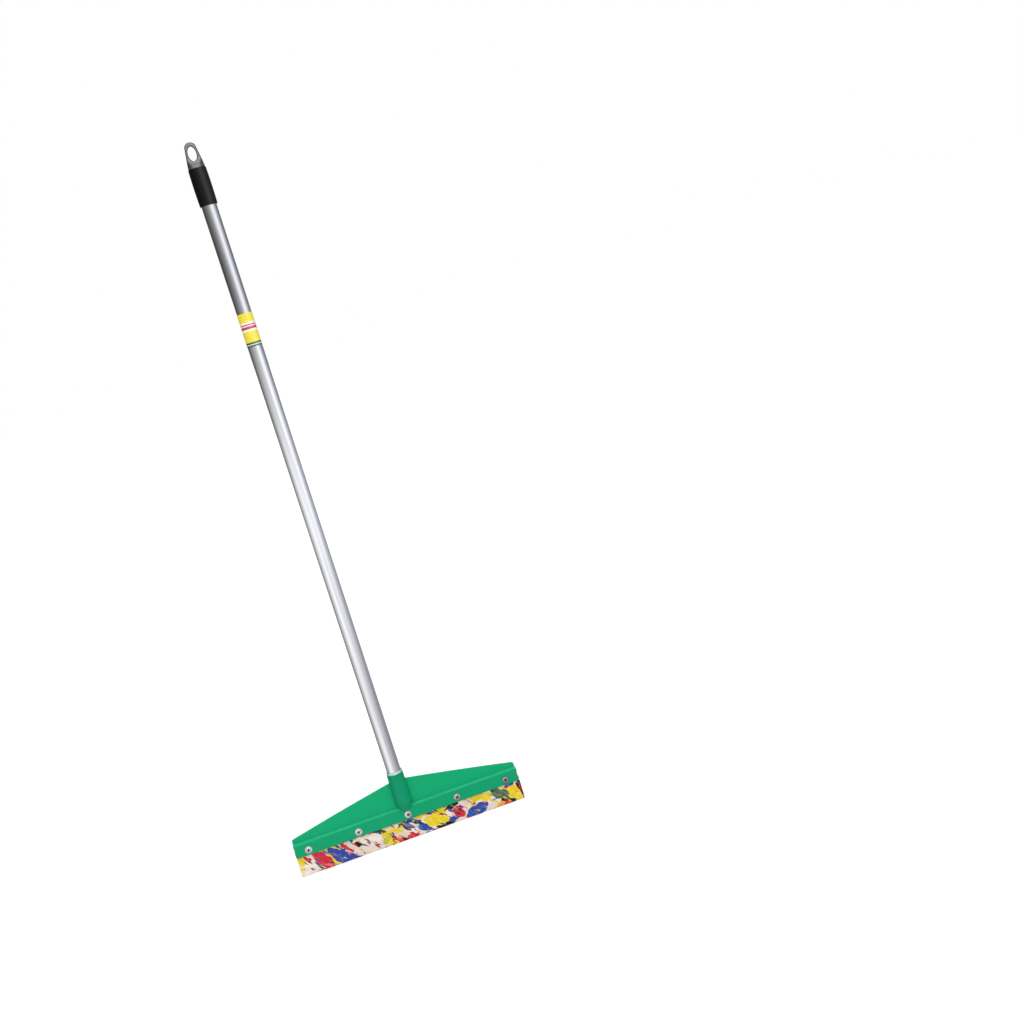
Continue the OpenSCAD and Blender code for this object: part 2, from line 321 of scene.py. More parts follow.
def lathe(profile: Array, segments: int, ring: bool) -> Skin:
    """Turns a profile about Z.

    Formula: the profile point (r, h) at angle a goes to (r cos a, r sin a, h). A ring profile closes on
    itself. Any other starts and ends on the axis, where fans close the poles.

    Args:
        profile: Radius and height of each point.
        segments: Number of steps round the axis.
        ring: Whether the profile closes on itself.

    Returns:
        The closed surface, facing outward.
    """
    angle = np.arange(segments) * 2 * np.pi / segments
    rows = profile if ring else profile[1:-1]
    r, h = rows[:, :1], rows[:, 1:]
    points = np.stack(
        [r * np.cos(angle), r * np.sin(angle), np.broadcast_to(h, (len(rows), segments))], axis=-1
    ).reshape(-1, 3)
    index = np.arange(len(points)).reshape(len(rows), segments)
    lower = index if ring else index[:-1]
    upper = np.roll(index, -1, axis=0) if ring else index[1:]
    quads = np.stack(
        [lower, np.roll(lower, -1, axis=1), np.roll(upper, -1, axis=1), upper], axis=-1
    ).reshape(-1, 4)
    triangles = np.zeros((0, 3), int)
    if not ring:
        poles = np.stack([np.zeros(2), np.zeros(2), profile[[0, -1], 1]], axis=1)
        first, last = len(points), len(points) + 1
        start, end = index[0], index[-1]
        triangles = np.concatenate([
            np.stack([np.full(segments, first), np.roll(start, -1), start], axis=1),
            np.stack([np.full(segments, last), end, np.roll(end, -1)], axis=1),
        ])
        points = np.concatenate([points, poles])
    return Skin(points, quads, triangles).face_out()


def sleeve_profile(inner: float, outer: Array, heights: Array, edge: float) -> Array:
    """Ring profile of a sleeve with a straight bore and rounded ends.

    Args:
        inner: Radius of the bore.
        outer: Outer radius at each height.
        heights: Heights from the lower to the upper end.
        edge: Radius of the rounded outer edges.

    Returns:
        The ring: up the outside, over the top, down the bore.
    """
    low, high = heights[0], heights[-1]
    side = (heights > low + edge * 1.2) & (heights < high - edge * 1.2)
    bore = np.stack([np.full(len(heights), inner), heights[::-1]], axis=1)
    return np.concatenate([
        arc((outer[0] - edge, low + edge), edge, -90, 0),
        np.stack([outer[side], heights[side]], axis=1),
        arc((outer[-1] - edge, high - edge), edge, 0, 90),
        bore,
    ])


# Node trees

class Socket:
    """One output in a node tree; arithmetic on it adds Math nodes."""

    def __init__(self, graph: "Graph", output: bpy.types.NodeSocket | None) -> None:
        """Wraps an output of a node in a graph, or nothing for a node that ends the tree."""
        self.graph, self.output = graph, output

    def _math(self, operation: str, a: "Socket | float", b: "Socket | float") -> "Socket":
        """Adds one Math node on two values."""
        return self.graph.node("ShaderNodeMath", {"operation": operation}, {0: a, 1: b})

    def __add__(self, other: "Socket | float") -> "Socket":
        """Sum."""
        return self._math("ADD", self, other)

    def __radd__(self, other: float) -> "Socket":
        """Sum with a number on the left."""
        return self._math("ADD", other, self)

    def __sub__(self, other: "Socket | float") -> "Socket":
        """Difference."""
        return self._math("SUBTRACT", self, other)

    def __rsub__(self, other: float) -> "Socket":
        """Difference with a number on the left."""
        return self._math("SUBTRACT", other, self)

    def __mul__(self, other: "Socket | float") -> "Socket":
        """Product."""
        return self._math("MULTIPLY", self, other)

    def __rmul__(self, other: float) -> "Socket":
        """Product with a number on the left."""
        return self._math("MULTIPLY", other, self)

    def __truediv__(self, other: "Socket | float") -> "Socket":
        """Quotient."""
        return self._math("DIVIDE", self, other)

    def __gt__(self, other: "Socket | float") -> "Socket":
        """One where this is larger, otherwise zero."""
        return self._math("GREATER_THAN", self, other)

    def most(self, other: "Socket | float") -> "Socket":
        """The larger of two values."""
        return self._math("MAXIMUM", self, other)

    def angle(self, other: "Socket") -> "Socket":
        """Angle of the point whose Y is this and whose X is the other."""
        return self._math("ARCTAN2", self, other)

    def fraction(self) -> "Socket":
        """What is left above the whole number below."""
        return self._math("FRACT", self, 0.0)

    def ease(self, low: float, high: float) -> "Socket":
        """Smooth step from 0 at low to 1 at high."""
        limits = {0: self, 1: low, 2: high, 3: 0.0, 4: 1.0}
        return self.graph.node("ShaderNodeMapRange", {"interpolation_type": "SMOOTHSTEP"}, limits)


class Graph:
    """A node tree under construction."""

    def __init__(self, tree: bpy.types.NodeTree) -> None:
        """Starts from an emptied tree."""
        tree.nodes.clear()
        self.tree = tree

    def node(
        self, kind: str, settings: dict | None = None, inputs: dict | None = None, output: int | str = 0
    ) -> Socket:
        """Adds a node.

        Args:
            kind: The node's type.
            settings: Its own settings. "stops" are a colour ramp's places and colours, and "steps" makes
                the ramp a stepped one.
            inputs: Values or links of its sockets, by name or number.
            output: The output to return, by name or number.

        Returns:
            That output, or an empty socket from a node that ends the tree.
        """
        made = self.tree.nodes.new(kind)
        for name, value in (settings or {}).items():
            if name == "stops":
                self._set_stops(made.color_ramp, value)
            elif name == "steps":
                made.color_ramp.interpolation = "CONSTANT"
            else:
                setattr(made, name, value)
        for key, value in (inputs or {}).items():
            if isinstance(value, Socket):
                self.tree.links.new(value.output, made.inputs[key])
            else:
                made.inputs[key].default_value = value
        return Socket(self, made.outputs[output] if len(made.outputs) else None)

    @staticmethod
    def _set_stops(ramp: bpy.types.ColorRamp, stops: list[tuple[float, Colour]]) -> None:
        """Fills a colour ramp.

        Args:
            ramp: The new node's ramp.
            stops: Places and colours in order.
        """
        while len(ramp.elements) < len(stops):
            ramp.elements.new(1.0)
        for element, (place, colour) in zip(ramp.elements, stops):
            element.position, element.color = place, colour

    def place(self) -> Socket:
        """Object coordinates."""
        return self.node("ShaderNodeTexCoord", output="Object")

    def value_on(self, name: str) -> Socket:
        """A value that rides on the mesh's points."""
        return self.node("ShaderNodeAttribute", {"attribute_name": name}, output=2)

    def mix(
        self, share: Socket | float, a: Socket | Colour, b: Socket | Colour, blend: str = "MIX"
    ) -> Socket:
        """Mixes two colours by a share."""
        settings = {"data_type": "RGBA", "blend_type": blend}
        return self.node("ShaderNodeMix", settings, {0: share, 6: a, 7: b}, 2)

    def map(self, place: Socket, scale: tuple, turn: tuple = (0, 0, 0)) -> Socket:
        """Turns coordinates, then scales them."""
        turned = self.node("ShaderNodeMapping", None, {"Vector": place, "Rotation": turn})
        return self.node("ShaderNodeMapping", None, {"Vector": turned, "Scale": scale})

    def noise(self, place: Socket, scale: float, detail: float, output: int = 0) -> Socket:
        """Noise from 0 to 1, about 0.5; its second output is a colour."""
        inputs = {"Vector": place, "Scale": scale, "Detail": detail}
        return self.node("ShaderNodeTexNoise", None, inputs, output)

    def bump(self, height: Socket, strength: float, depth: float) -> Socket:
        """Normal of a height laid on the surface."""
        inputs = {"Height": height, "Strength": strength, "Distance": depth}
        return self.node("ShaderNodeBump", None, inputs)

    def surface(self, **inputs: object) -> None:
        """Closes the material with one principled surface.

        Args:
            inputs: Values or links of its sockets, with underscores for the spaces in their names.
        """
        sockets = {name.replace("_", " "): value for name, value in inputs.items()}
        skin = self.node("ShaderNodeBsdfPrincipled", None, sockets)
        self.node("ShaderNodeOutputMaterial", None, {"Surface": skin})


def material_graph(name: str) -> tuple[bpy.types.Material, Graph]:
    """Makes a material to be filled.

    Args:
        name: Its name.

    Returns:
        The material and its empty node tree.
    """
    made = bpy.data.materials.new(name)
    made.use_nodes = True
    return made, Graph(made.node_tree)


# Finishes

@dataclass(frozen=True)
class GreenMoulding:
    """Satin green plastic, with painted light: thin walls painted brighter, as if lit through, thick ones
    deeper.
    """

    slot: str = "head_plastic"
    # deep and bright are shaded and lit copies of the green, mixed by the painted backlight
    deep: Colour = paint(0, 139, 97)
    bright: Colour = paint(0, 159, 105)
    # painted shade along the edges and in the fold over the channel
    edge_shade: Colour = paint(2, 112, 78)
    # painted highlight on the channel's upward shoulders
    rubbed: Colour = paint(62, 204, 152)
    # painted highlight on the bevel of the socket's mouth
    rim_highlight: Colour = paint(204, 236, 222)
    flow_mark: Colour = paint(3, 128, 88)

    def material(self) -> bpy.types.Material:
        """Mixes greens by wall, flow marks, a grain, painted shade on edges and painted highlights on
        shoulders and rim.

        Returns:
            The new material.
        """
        made, g = material_graph(self.slot)
        place = g.place()
        flow = g.noise(g.map(place, (1, 1, 2.2)), 26, 4)
        scratch = g.noise(g.map(place, (30, 260, 420), (0.0, 0.35, 0.0)), 1, 2)
        patchy = g.noise(place, 240, 3).ease(0.3, 0.7)
        # painted light: the thin plate brighter, as if lit through, the thick socket deeper
        green = g.mix(g.value_on("painted_backlight"), self.deep, self.bright)
        green = g.mix(flow.ease(0.3, 0.75) * 0.10, green, self.flow_mark)
        # painted shade along the edges and in the fold
        green = g.mix(g.value_on("edge") * (0.35 + 0.35 * patchy), green, self.edge_shade)
        # painted highlight on the shoulders
        green = g.mix(g.value_on("ledge") * (0.12 + 0.16 * patchy), green, self.rubbed)
        # painted highlight on the mouth's bevel, strongest at the front
        green = g.mix(g.value_on("rim") * (0.65 + 0.35 * patchy), green, self.rim_highlight)
        grain = g.noise(place, 1700, 2) + 0.5 * scratch
        g.surface(
            Base_Color=green,
            Roughness=0.36 + 0.10 * flow + 0.10 * scratch.ease(0.5, 0.8),
            Specular_IOR_Level=0.15,
            Normal=g.bump(grain, 0.10, 0.2 * MM),
        )
        return made


class Dye(Enum):
    """Colours of the foam's offcuts."""

    CREAM = paint(220, 205, 194)
    PALE = paint(228, 217, 206)
    YELLOW = paint(224, 198, 40)
    AMBER = paint(222, 150, 54)
    BLUE = paint(44, 72, 158)
    RED = paint(200, 42, 64)
    BLACK = paint(32, 29, 29)
    MOSS = paint(74, 102, 80)
    LIME = paint(186, 194, 58)


@dataclass(frozen=True)
class Chip:
    """A large chip on the blade's front, in millimetres; its slope is in degrees, down to the right."""

    dye: Dye
    x: float
    z: float
    length: float
    width: float
    slope: float


LARGE_CHIPS = (
    Chip(Dye.CREAM, -76, 10, 64, 26, 0),
    Chip(Dye.PALE, -70, 25, 46, 17, 10),
    Chip(Dye.YELLOW, -196, 27, 20, 16, 60),
    Chip(Dye.CREAM, -196, 6, 18, 12, 0),
    Chip(Dye.PALE, -186, 3, 24, 10, 0),
    Chip(Dye.PALE, -181, 13, 34, 17, 40),
    Chip(Dye.BLACK, -183, 8, 9, 4, 50),
    Chip(Dye.RED, -184, 28, 16, 6, 60),
    Chip(Dye.RED, -160, 18, 50, 19, 51),
    Chip(Dye.YELLOW, -141, 25, 30, 7, 48),
    Chip(Dye.BLUE, -131, 16, 46, 21, 46),
    Chip(Dye.RED, -119, 27, 20, 9, 50),
    Chip(Dye.BLACK, -96, 24, 13, 6, 50),
    Chip(Dye.LIME, -46, 14, 24, 11, -30),
    Chip(Dye.YELLOW, -44, 24, 26, 8, -15),
    Chip(Dye.CREAM, -20, 15, 34, 14, 40),
    Chip(Dye.BLUE, -5, 25, 26, 7, 50),
    Chip(Dye.BLACK, -12, 24, 22, 4, 46),
    Chip(Dye.YELLOW, -26, 22, 20, 8, 20),
    Chip(Dye.BLACK, 12, 22, 30, 4, 40),
    Chip(Dye.CREAM, 8, 17, 28, 9, 45),
    Chip(Dye.RED, -2, 3, 26, 9, 0),
    Chip(Dye.BLUE, 22, 10, 28, 10, 35),
    Chip(Dye.YELLOW, 43, 16, 46, 22, 20),
    Chip(Dye.YELLOW, 54, 29, 44, 10, -5),
    Chip(Dye.BLACK, 75, 31, 26, 9, -10),
    Chip(Dye.RED, 84, 16, 24, 17, 50),
    Chip(Dye.CREAM, 100, 28, 28, 11, 20),
    Chip(Dye.BLUE, 116, 9, 46, 18, -15),
    Chip(Dye.YELLOW, 132, 29, 34, 10, 15),
    Chip(Dye.CREAM, 147, 8, 36, 12, -20),
    Chip(Dye.MOSS, 163, 22, 40, 18, 28),
    Chip(Dye.YELLOW, 187, 16, 24, 23, 60),
    Chip(Dye.RED, 170, 2, 22, 7, -10),
    Chip(Dye.BLACK, 58, 3, 34, 5, 0),
    Chip(Dye.BLUE, 73, 8, 20, 9, -10),
    Chip(Dye.BLUE, 182, 33, 18, 8, 0),
    Chip(Dye.BLACK, 200, 20, 32, 11, 80),
    Chip(Dye.RED, 200, 19, 16, 5, 80),
)


@dataclass(frozen=True)
class ChipFoam:
    """Foam pressed from offcuts: sharp-edged chips and slivers of many colours, lying mostly aslant."""

    slot: str = "blade_foam"
    front: float = 0.0
    chip_depth: float = 9 * MM
    slant_share: float = 0.16
    back_share: float = 0.10
    sliver_share: float = 0.11
    bit_share: float = 0.06
    stain: Colour = paint(176, 140, 112)
    bloom: Colour = paint(236, 226, 190)
    pores: Colour = paint(60, 52, 48)

    def chips(
        self, g: Graph, place: Socket, size: tuple, turn: float, stops: list[tuple[float, Dye]]
    ) -> tuple[Socket, Socket]:
        """One layer of chips: cells of random points, coloured by their shares.

        Args:
            g: The material's graph.
            place: Coordinates in metres, already bent.
            size: Mean length, depth and width of a chip in millimetres.
            turn: Slope of the chips' length in degrees, down to the right.
            stops: Share and dye of each kind of chip, in order.

        Returns:
            The chips' colour, and a random number for each chip.
        """
        scale = tuple(1 / (s * MM) for s in size)
        mapped = g.map(place, scale, (0, -math.radians(turn), 0))
        cells = g.node("ShaderNodeTexVoronoi", {"feature": "F1"}, {"Vector": mapped, "Scale": 1.0}, "Color")
        kind, pick = (g.node("ShaderNodeSeparateColor", None, {0: cells}, c) for c in ("Red", "Green"))
        ends = np.cumsum([0] + [share for share, _ in stops[:-1]]) / sum(share for share, _ in stops)
        ramp = list(zip(ends.tolist(), [dye.value for _, dye in stops]))
        return g.node("ShaderNodeValToRGB", {"stops": ramp, "steps": True}, {0: kind}), pick

    def bent(self, g: Graph, place: Socket, scale: float, reach: float) -> Socket:
        """Coordinates pushed about by noise.

        Args:
            g: The material's graph.
            place: The coordinates.
            scale: Scale of the noise.
            reach: Width of the push from end to end.

        Returns:
            The bent coordinates.
        """
        noise = {0: g.noise(place, scale, 1, 1), 1: (0.5, 0.5, 0.5)}
        push = g.node("ShaderNodeVectorMath", {"operation": "SUBTRACT"}, noise)
        terms = {0: push, 1: (reach,) * 3, 2: place}
        return g.node("ShaderNodeVectorMath", {"operation": "MULTIPLY_ADD"}, terms)

    def large(self, g: Graph, place: Socket, chip: Chip, under: Socket) -> Socket:
        """Lays a large chip over a colour: an oval of its length and width, on the front of the blade.

        Args:
            g: The material's graph.
            place: Coordinates in metres, already bent.
            chip: The chip.
            under: The colour below it.

        Returns:
            The colour with the chip.
        """
        local = g.node("ShaderNodeMapping", {"vector_type": "TEXTURE"}, {
            "Vector": place, "Location": (chip.x * MM, self.front, chip.z * MM),
            "Rotation": (0, math.radians(chip.slope), 0),
            "Scale": (chip.length * MM / 2, self.chip_depth, chip.width * MM / 2),
        })
        reach = g.node("ShaderNodeVectorMath", {"operation": "LENGTH"}, {0: local}, "Value")
        return g.mix(1.0 - (reach > 1.0), under, chip.dye.value)

    def material(self) -> bpy.types.Material:
        """Lays random chips, light chips, slivers, dark chips and bits over each other, with fine cells.

        Returns:
            The new material.
        """
        made, g = material_graph(self.slot)
        place = g.place()
        frayed = self.bent(g, place, 260, 1.5 * MM)
        bent = self.bent(g, frayed, 55, 12 * MM)
        colour, _ = self.chips(g, bent, (26, 20, 15), 42, [
            (25, Dye.CREAM), (12, Dye.PALE), (23, Dye.YELLOW), (12, Dye.BLUE), (10, Dye.RED),
            (4, Dye.AMBER), (9, Dye.BLACK), (5, Dye.MOSS),
        ])
        slant, chosen = self.chips(g, bent, (24, 16, 7), 52, [
            (26, Dye.CREAM), (20, Dye.YELLOW), (17, Dye.RED), (15, Dye.BLUE), (16, Dye.BLACK),
            (6, Dye.PALE),
        ])
        back, turned = self.chips(g, bent, (20, 14, 5), -38, [
            (32, Dye.PALE), (22, Dye.YELLOW), (18, Dye.BLUE), (16, Dye.BLACK), (12, Dye.RED),
        ])
        sliver, thin = self.chips(g, bent, (20, 10, 2.2), 48, [
            (28, Dye.BLACK), (20, Dye.RED), (16, Dye.BLUE), (22, Dye.CREAM), (14, Dye.YELLOW),
        ])
        colour = g.mix(chosen > 1 - self.slant_share, colour, slant)
        colour = g.mix(turned > 1 - self.back_share, colour, back)
        bits, tiny = self.chips(g, frayed, (9, 7, 2.6), 46, [
            (26, Dye.BLACK), (18, Dye.RED), (14, Dye.BLUE), (14, Dye.MOSS), (14, Dye.AMBER),
            (14, Dye.YELLOW),
        ])
        jagged = self.bent(g, frayed, 75, 10 * MM)
        light = {Dye.CREAM, Dye.PALE}
        for chip in (c for c in LARGE_CHIPS if c.dye in light):
            colour = self.large(g, jagged, chip, colour)
        colour = g.mix(thin > 1 - self.sliver_share, colour, sliver)
        for chip in (c for c in LARGE_CHIPS if c.dye not in light):
            colour = self.large(g, jagged, chip, colour)
        colour = g.mix(tiny > 1 - self.bit_share, colour, bits)
        shade = g.noise(place, 110, 3)
        colour = g.mix(shade.ease(0.35, 0.8) * 0.30, colour, self.stain, "MULTIPLY")
        streak = g.noise(g.map(bent, (60, 60, 240), (0, -0.8, 0)), 1, 3)
        colour = g.mix(streak.ease(0.5, 0.75) * 0.22, colour, self.bloom)
        cells = g.noise(place, 1500, 2)
        colour = g.mix(cells.ease(0.56, 0.74) * 0.14, colour, self.pores, "MULTIPLY")
        seams = g.noise(bent, 210, 4)
        g.surface(
            Base_Color=colour,
            Roughness=0.78 + 0.14 * cells,
            Specular_IOR_Level=0.2,
            Normal=g.bump(cells + 0.9 * seams, 0.30, 0.4 * MM),
        )
        return made


@dataclass(frozen=True)
class PlatedSteel:
    """Bright plated screw steel, with painted shade in the recess and round the flange, and dirt."""

    slot: str = "screw_steel"
    bright: Colour = paint(230, 226, 229)
    # painted shade in the recess and at the flange's edge, and dirt
    dirt_and_shade: Colour = paint(34, 30, 33)

    def material(self) -> bpy.types.Material:
        """Darkens and dulls the recess and the flange's edge as painted shade, under clouds of wear and a
        fine grain.

        Returns:
            The new material.
        """
        made, g = material_graph(self.slot)
        place = g.place()
        cloud = g.noise(place, 700, 3)
        recess = g.value_on("recess")
        g.surface(
            # the recess mask carries painted shade in the cross and round the flange, and dirt
            Base_Color=g.mix(recess + 0.12 * cloud.ease(0.55, 0.8), self.bright, self.dirt_and_shade),
            Metallic=1.0 - 0.75 * recess,
            Roughness=0.14 + 0.10 * cloud + 0.35 * recess,
            Normal=g.bump(g.noise(place, 3200, 2), 0.06, 0.1 * MM),
        )
        return made


@dataclass(frozen=True)
class SatinAluminium:
    """Drawn aluminium tube with fine lines along its length."""

    slot: str = "tube_metal"
    light: Colour = paint(232, 232, 236)
    dull: Colour = paint(196, 197, 202)

    def material(self) -> bpy.types.Material:
        """Draws streaks along Z in colour, gloss and height, under faint handling marks.

        Returns:
            The new material.
        """
        made, g = material_graph(self.slot)
        place = g.place()
        line = g.noise(g.map(place, (900, 900, 5)), 1, 3)
        fine = g.noise(g.map(place, (3200, 3200, 22)), 1, 2)
        smear = g.noise(g.map(place, (1, 1, 0.5)), 34, 4)
        g.surface(
            Base_Color=g.mix(line.ease(0.35, 0.75) * 0.5, self.light, self.dull),
            Metallic=1.0,
            Roughness=0.18 + 0.05 * line + 0.06 * smear,
            Normal=g.bump(line + 0.5 * fine, 0.05, 0.06 * MM),
        )
        return made


@dataclass(frozen=True)
class LabelFilm:
    """Glossy printed film in plain rings, the same all round."""

    slot: str = "label_film"
    low: float = 0.0
    high: float = 1.0
    yellow: Colour = paint(243, 223, 22)
    white: Colour = paint(244, 242, 236)
    red: Colour = paint(206, 36, 44)
    green: Colour = paint(20, 84, 56)
    mint: Colour = paint(206, 232, 214)
    ink: Colour = paint(150, 140, 110)

    def material(self) -> bpy.types.Material:
        """Prints the rings by height, with a soft ink mottle and a clear coat.

        Returns:
            The new material.
        """
        made, g = material_graph(self.slot)
        place = g.place()
        height = g.node("ShaderNodeSeparateXYZ", None, {0: place}, "Z")
        share = (height - self.low) / (self.high - self.low)
        rings = [
            (0.0, self.green), (0.045, self.mint), (0.075, self.green), (0.13, self.yellow),
            (0.455, self.white), (0.52, self.red), (0.60, self.white), (0.63, self.red),
            (0.665, self.white), (0.73, self.yellow),
        ]
        print_colour = g.node("ShaderNodeValToRGB", {"stops": rings, "steps": True}, {0: share})
        mottle = g.noise(place, 420, 3)
        g.surface(
            Base_Color=g.mix(mottle.ease(0.4, 0.75) * 0.10, print_colour, self.ink, "MULTIPLY"),
            Roughness=0.34 + 0.12 * mottle,
            Coat_Weight=1.0,
            Coat_Roughness=0.13,
            Coat_IOR=1.9,
            Normal=g.bump(g.noise(place, 160, 2), 0.05, 0.2 * MM),
        )
        return made


@dataclass(frozen=True)
class PlainPlastic:
    """Moulded plastic of one colour, with a grain, flow marks, wear, and painted shade along edges where
    given.
    """

    slot: str
    body: Colour
    # second colour: wear over clouds, and painted shade along edges where given
    rubbed: Colour
    roughness: float
    grain: float
    gloss: float = 0.45
    edges: bool = False
    ripple: float = 0.0

    def material(self) -> bpy.types.Material:
        """Mixes in a second colour as wear over clouds and as painted shade along given edges; ripples run
        along Z.

        Returns:
            The new material.
        """
        made, g = material_graph(self.slot)
        place = g.place()
        cloud = g.noise(place, 90, 4)
        wear_and_edge_shade = cloud.ease(0.4, 0.8) * 0.25
        if self.edges:
            # painted shade along the edges
            wear_and_edge_shade = wear_and_edge_shade * 0.2 + 0.85 * g.value_on("edge")
        skin = g.noise(place, self.grain, 2)
        wave = g.noise(g.map(place, (240, 240, 14)), 1, 2)
        g.surface(
            Base_Color=g.mix(wear_and_edge_shade, self.body, self.rubbed),
            Roughness=self.roughness + 0.12 * cloud,
            Specular_IOR_Level=self.gloss,
            Normal=g.bump(skin + 0.6 * cloud + self.ripple * wave, 0.06, 0.15 * MM),
        )
        return made


Finish = GreenMoulding | ChipFoam | PlatedSteel | SatinAluminium | LabelFilm | PlainPlastic


# Pieces

def put(name: str, skin: Skin, finish: Finish, body: Body, nodes: list[str]) -> bpy.types.Object:
    """Makes a piece of a skin, dresses it and ties it to the frame.

    Args:
        name: The piece's name.
        skin: Its surface.
        finish: Its finish.
        body: The body that it rides on.
        nodes: The CAD nodes that it stands for.

    Returns:
        The new object.
    """
    mesh = bpy.data.meshes.new(name)
    corners = np.concatenate([skin.quads.ravel(), skin.triangles.ravel()]).astype(np.int32)
    sizes = np.concatenate([np.full(len(skin.quads), 4), np.full(len(skin.triangles), 3)])
    starts = np.concatenate([[0], np.cumsum(sizes)[:-1]]).astype(np.int32)
    mesh.vertices.add(len(skin.points))
    mesh.vertices.foreach_set("co", skin.points.astype(np.float32).ravel())
    mesh.loops.add(len(corners))
    mesh.loops.foreach_set("vertex_index", corners)
    mesh.polygons.add(len(sizes))
    mesh.polygons.foreach_set("loop_start", starts)
    mesh.update(calc_edges=True)
    mesh.shade_smooth()
    if skin.normals is not None:
        mesh.normals_split_custom_set_from_vertices(skin.normals.astype(np.float32))
    for key, value in skin.values.items():
        mesh.attributes.new(key, "FLOAT", "POINT").data.foreach_set("value", value.astype(np.float32))
    mesh.materials.append(finish.material())
    piece = bpy.data.objects.new(name, mesh)
    bpy.context.scene.collection.objects.link(piece)
    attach(piece, body.value)
    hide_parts(*nodes)
    faces = 2 * len(skin.quads) + len(skin.triangles)
    log.info("%s: %d triangles, %.1f cm3", name, faces, skin.volume() * 1e6)
    return piece


@dataclass
class Screws:
    """Flanged cross-recess screws that clamp the blade."""

    count: int = 5
    flange_thick: float = 0.9 * MM
    dome_r: float = 4.4 * MM
    dome_h: float = 1.8 * MM
    shank_r: float = 2.0 * MM
    cross_half: float = 3.4 * MM
    cross_arm: float = 1.9 * MM
    cross_depth: float = 1.3 * MM
    edge: float = 0.45 * MM
    flange_drop: float = 0.3 * MM
    hub_r: float = 2.1 * MM
    bank: float = 0.28 * MM
    arm_taper: float = 0.25
    recess_rise: float = 0.45
    pit_r: float = 1.1 * MM
    pit_fade: float = 1.6
    pit_depth: float = 0.5
    # width of the painted shadow round the flange's edge
    flange_shade_wide: float = 0.8 * MM
    chamfer: float = 0.1 * MM
    point_drop: float = 0.02 * MM
    dome_rows: int = 44
    shank_rows: int = 8
    segments: int = 120
    first_turn: float = 0.4
    turn_step: float = math.radians(67)
    wear: float = 0.03

    def names(self) -> list[str]:
        """Names of the CAD nodes, from one end of the head to the other."""
        return [f"blade_screw_{i + 1}" for i in range(self.count)]

    def middles(self) -> Array:
        """Place of each screw along the head."""
        return np.array([(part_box(n)[0].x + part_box(n)[1].x) / 2 for n in self.names()])

    def height(self) -> float:
        """Height of the screws."""
        low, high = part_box(self.names()[0])
        return (low.z + high.z) / 2

    def skin(self, node: str, turn: float, worn: float) -> Skin:
        """A screw on its side: a turned profile with a cross sunk into the dome.

        Formula: the profile runs over the dome, round the flange and along the shank to its point. Points
        of the dome sink by the depth times how far they lie inside an arm of the cross or the hub, and
        deeper at the middle.

        Args:
            node: The CAD node whose place it takes.
            turn: Angle of the cross.
            worn: Share of dirt all over the head.

        Returns:
            The surface, with painted shade in the recess and round the flange, and dirt, as a share.
        """
        low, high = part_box(node)
        flange_r = (high.x - low.x) / 2
        top, foot = high.y - low.y, self.flange_thick + self.dome_h
        ball = (self.dome_r**2 + self.dome_h**2) / (2 * self.dome_h)
        r = np.linspace(0, self.dome_r, self.dome_rows)
        shank = np.linspace(foot + self.chamfer, top - self.shank_r, self.shank_rows)
        profile = np.concatenate([
            np.c_[r, ball - np.sqrt(ball**2 - r**2)],
            arc((flange_r - self.edge, self.dome_h + self.flange_drop + self.edge), self.edge, -80, 0),
            [[flange_r, foot - self.chamfer], [flange_r - self.chamfer, foot], [self.shank_r, foot]],
            np.c_[np.full(self.shank_rows, self.shank_r), shank],
            [[self.shank_r / 4, top - self.point_drop], [0, top]],
        ])
        skin = lathe(profile, self.segments, ring=False)
        x, y, h = skin.points.T
        a = np.abs(x * math.cos(turn) + y * math.sin(turn))
        b = np.abs(y * math.cos(turn) - x * math.sin(turn))
        reach, on_dome = np.hypot(x, y), h < self.dome_h
        width = self.cross_arm / 2 * (1 - self.arm_taper * reach / self.cross_half)
        across = np.minimum(width - a, self.cross_half - b)
        along = np.minimum(width - b, self.cross_half - a)
        inside = np.maximum(np.maximum(across, along), self.hub_r - reach)
        sunk = np.clip(inside / self.bank, 0, 1) * on_dome
        hollow = np.clip(self.pit_fade - reach / self.pit_r, 0, 1) * on_dome * self.pit_depth
        depth = self.cross_depth * sunk * (1 - self.recess_rise * reach / self.cross_half + hollow)
        middle = (low + high) / 2
        skin.points = np.c_[x + middle.x, low.y + h + depth, middle.z - y]
        # painted shade in the recess and a painted shadow round the flange's edge, plus dirt
        flange_shade = np.clip((reach - flange_r) / self.flange_shade_wide + 1, 0, 1)
        skin.values["recess"] = np.clip(sunk * 0.9 + hollow + 0.8 * flange_shade + worn, 0, 1)
        return skin

    def build(self) -> list[bpy.types.Object]:
        """Makes every screw, each with its cross at its own angle and duller than the one before.

        Returns:
            The screws in order.
        """
        finish, made = PlatedSteel(), []
        for i, node in enumerate(self.names()):
            skin = self.skin(node, self.first_turn + i * self.turn_step, self.wear * i**2)
            made.append(put(f"screw_{i + 1}", skin, finish, Body.HEAD, [node]))
        return made


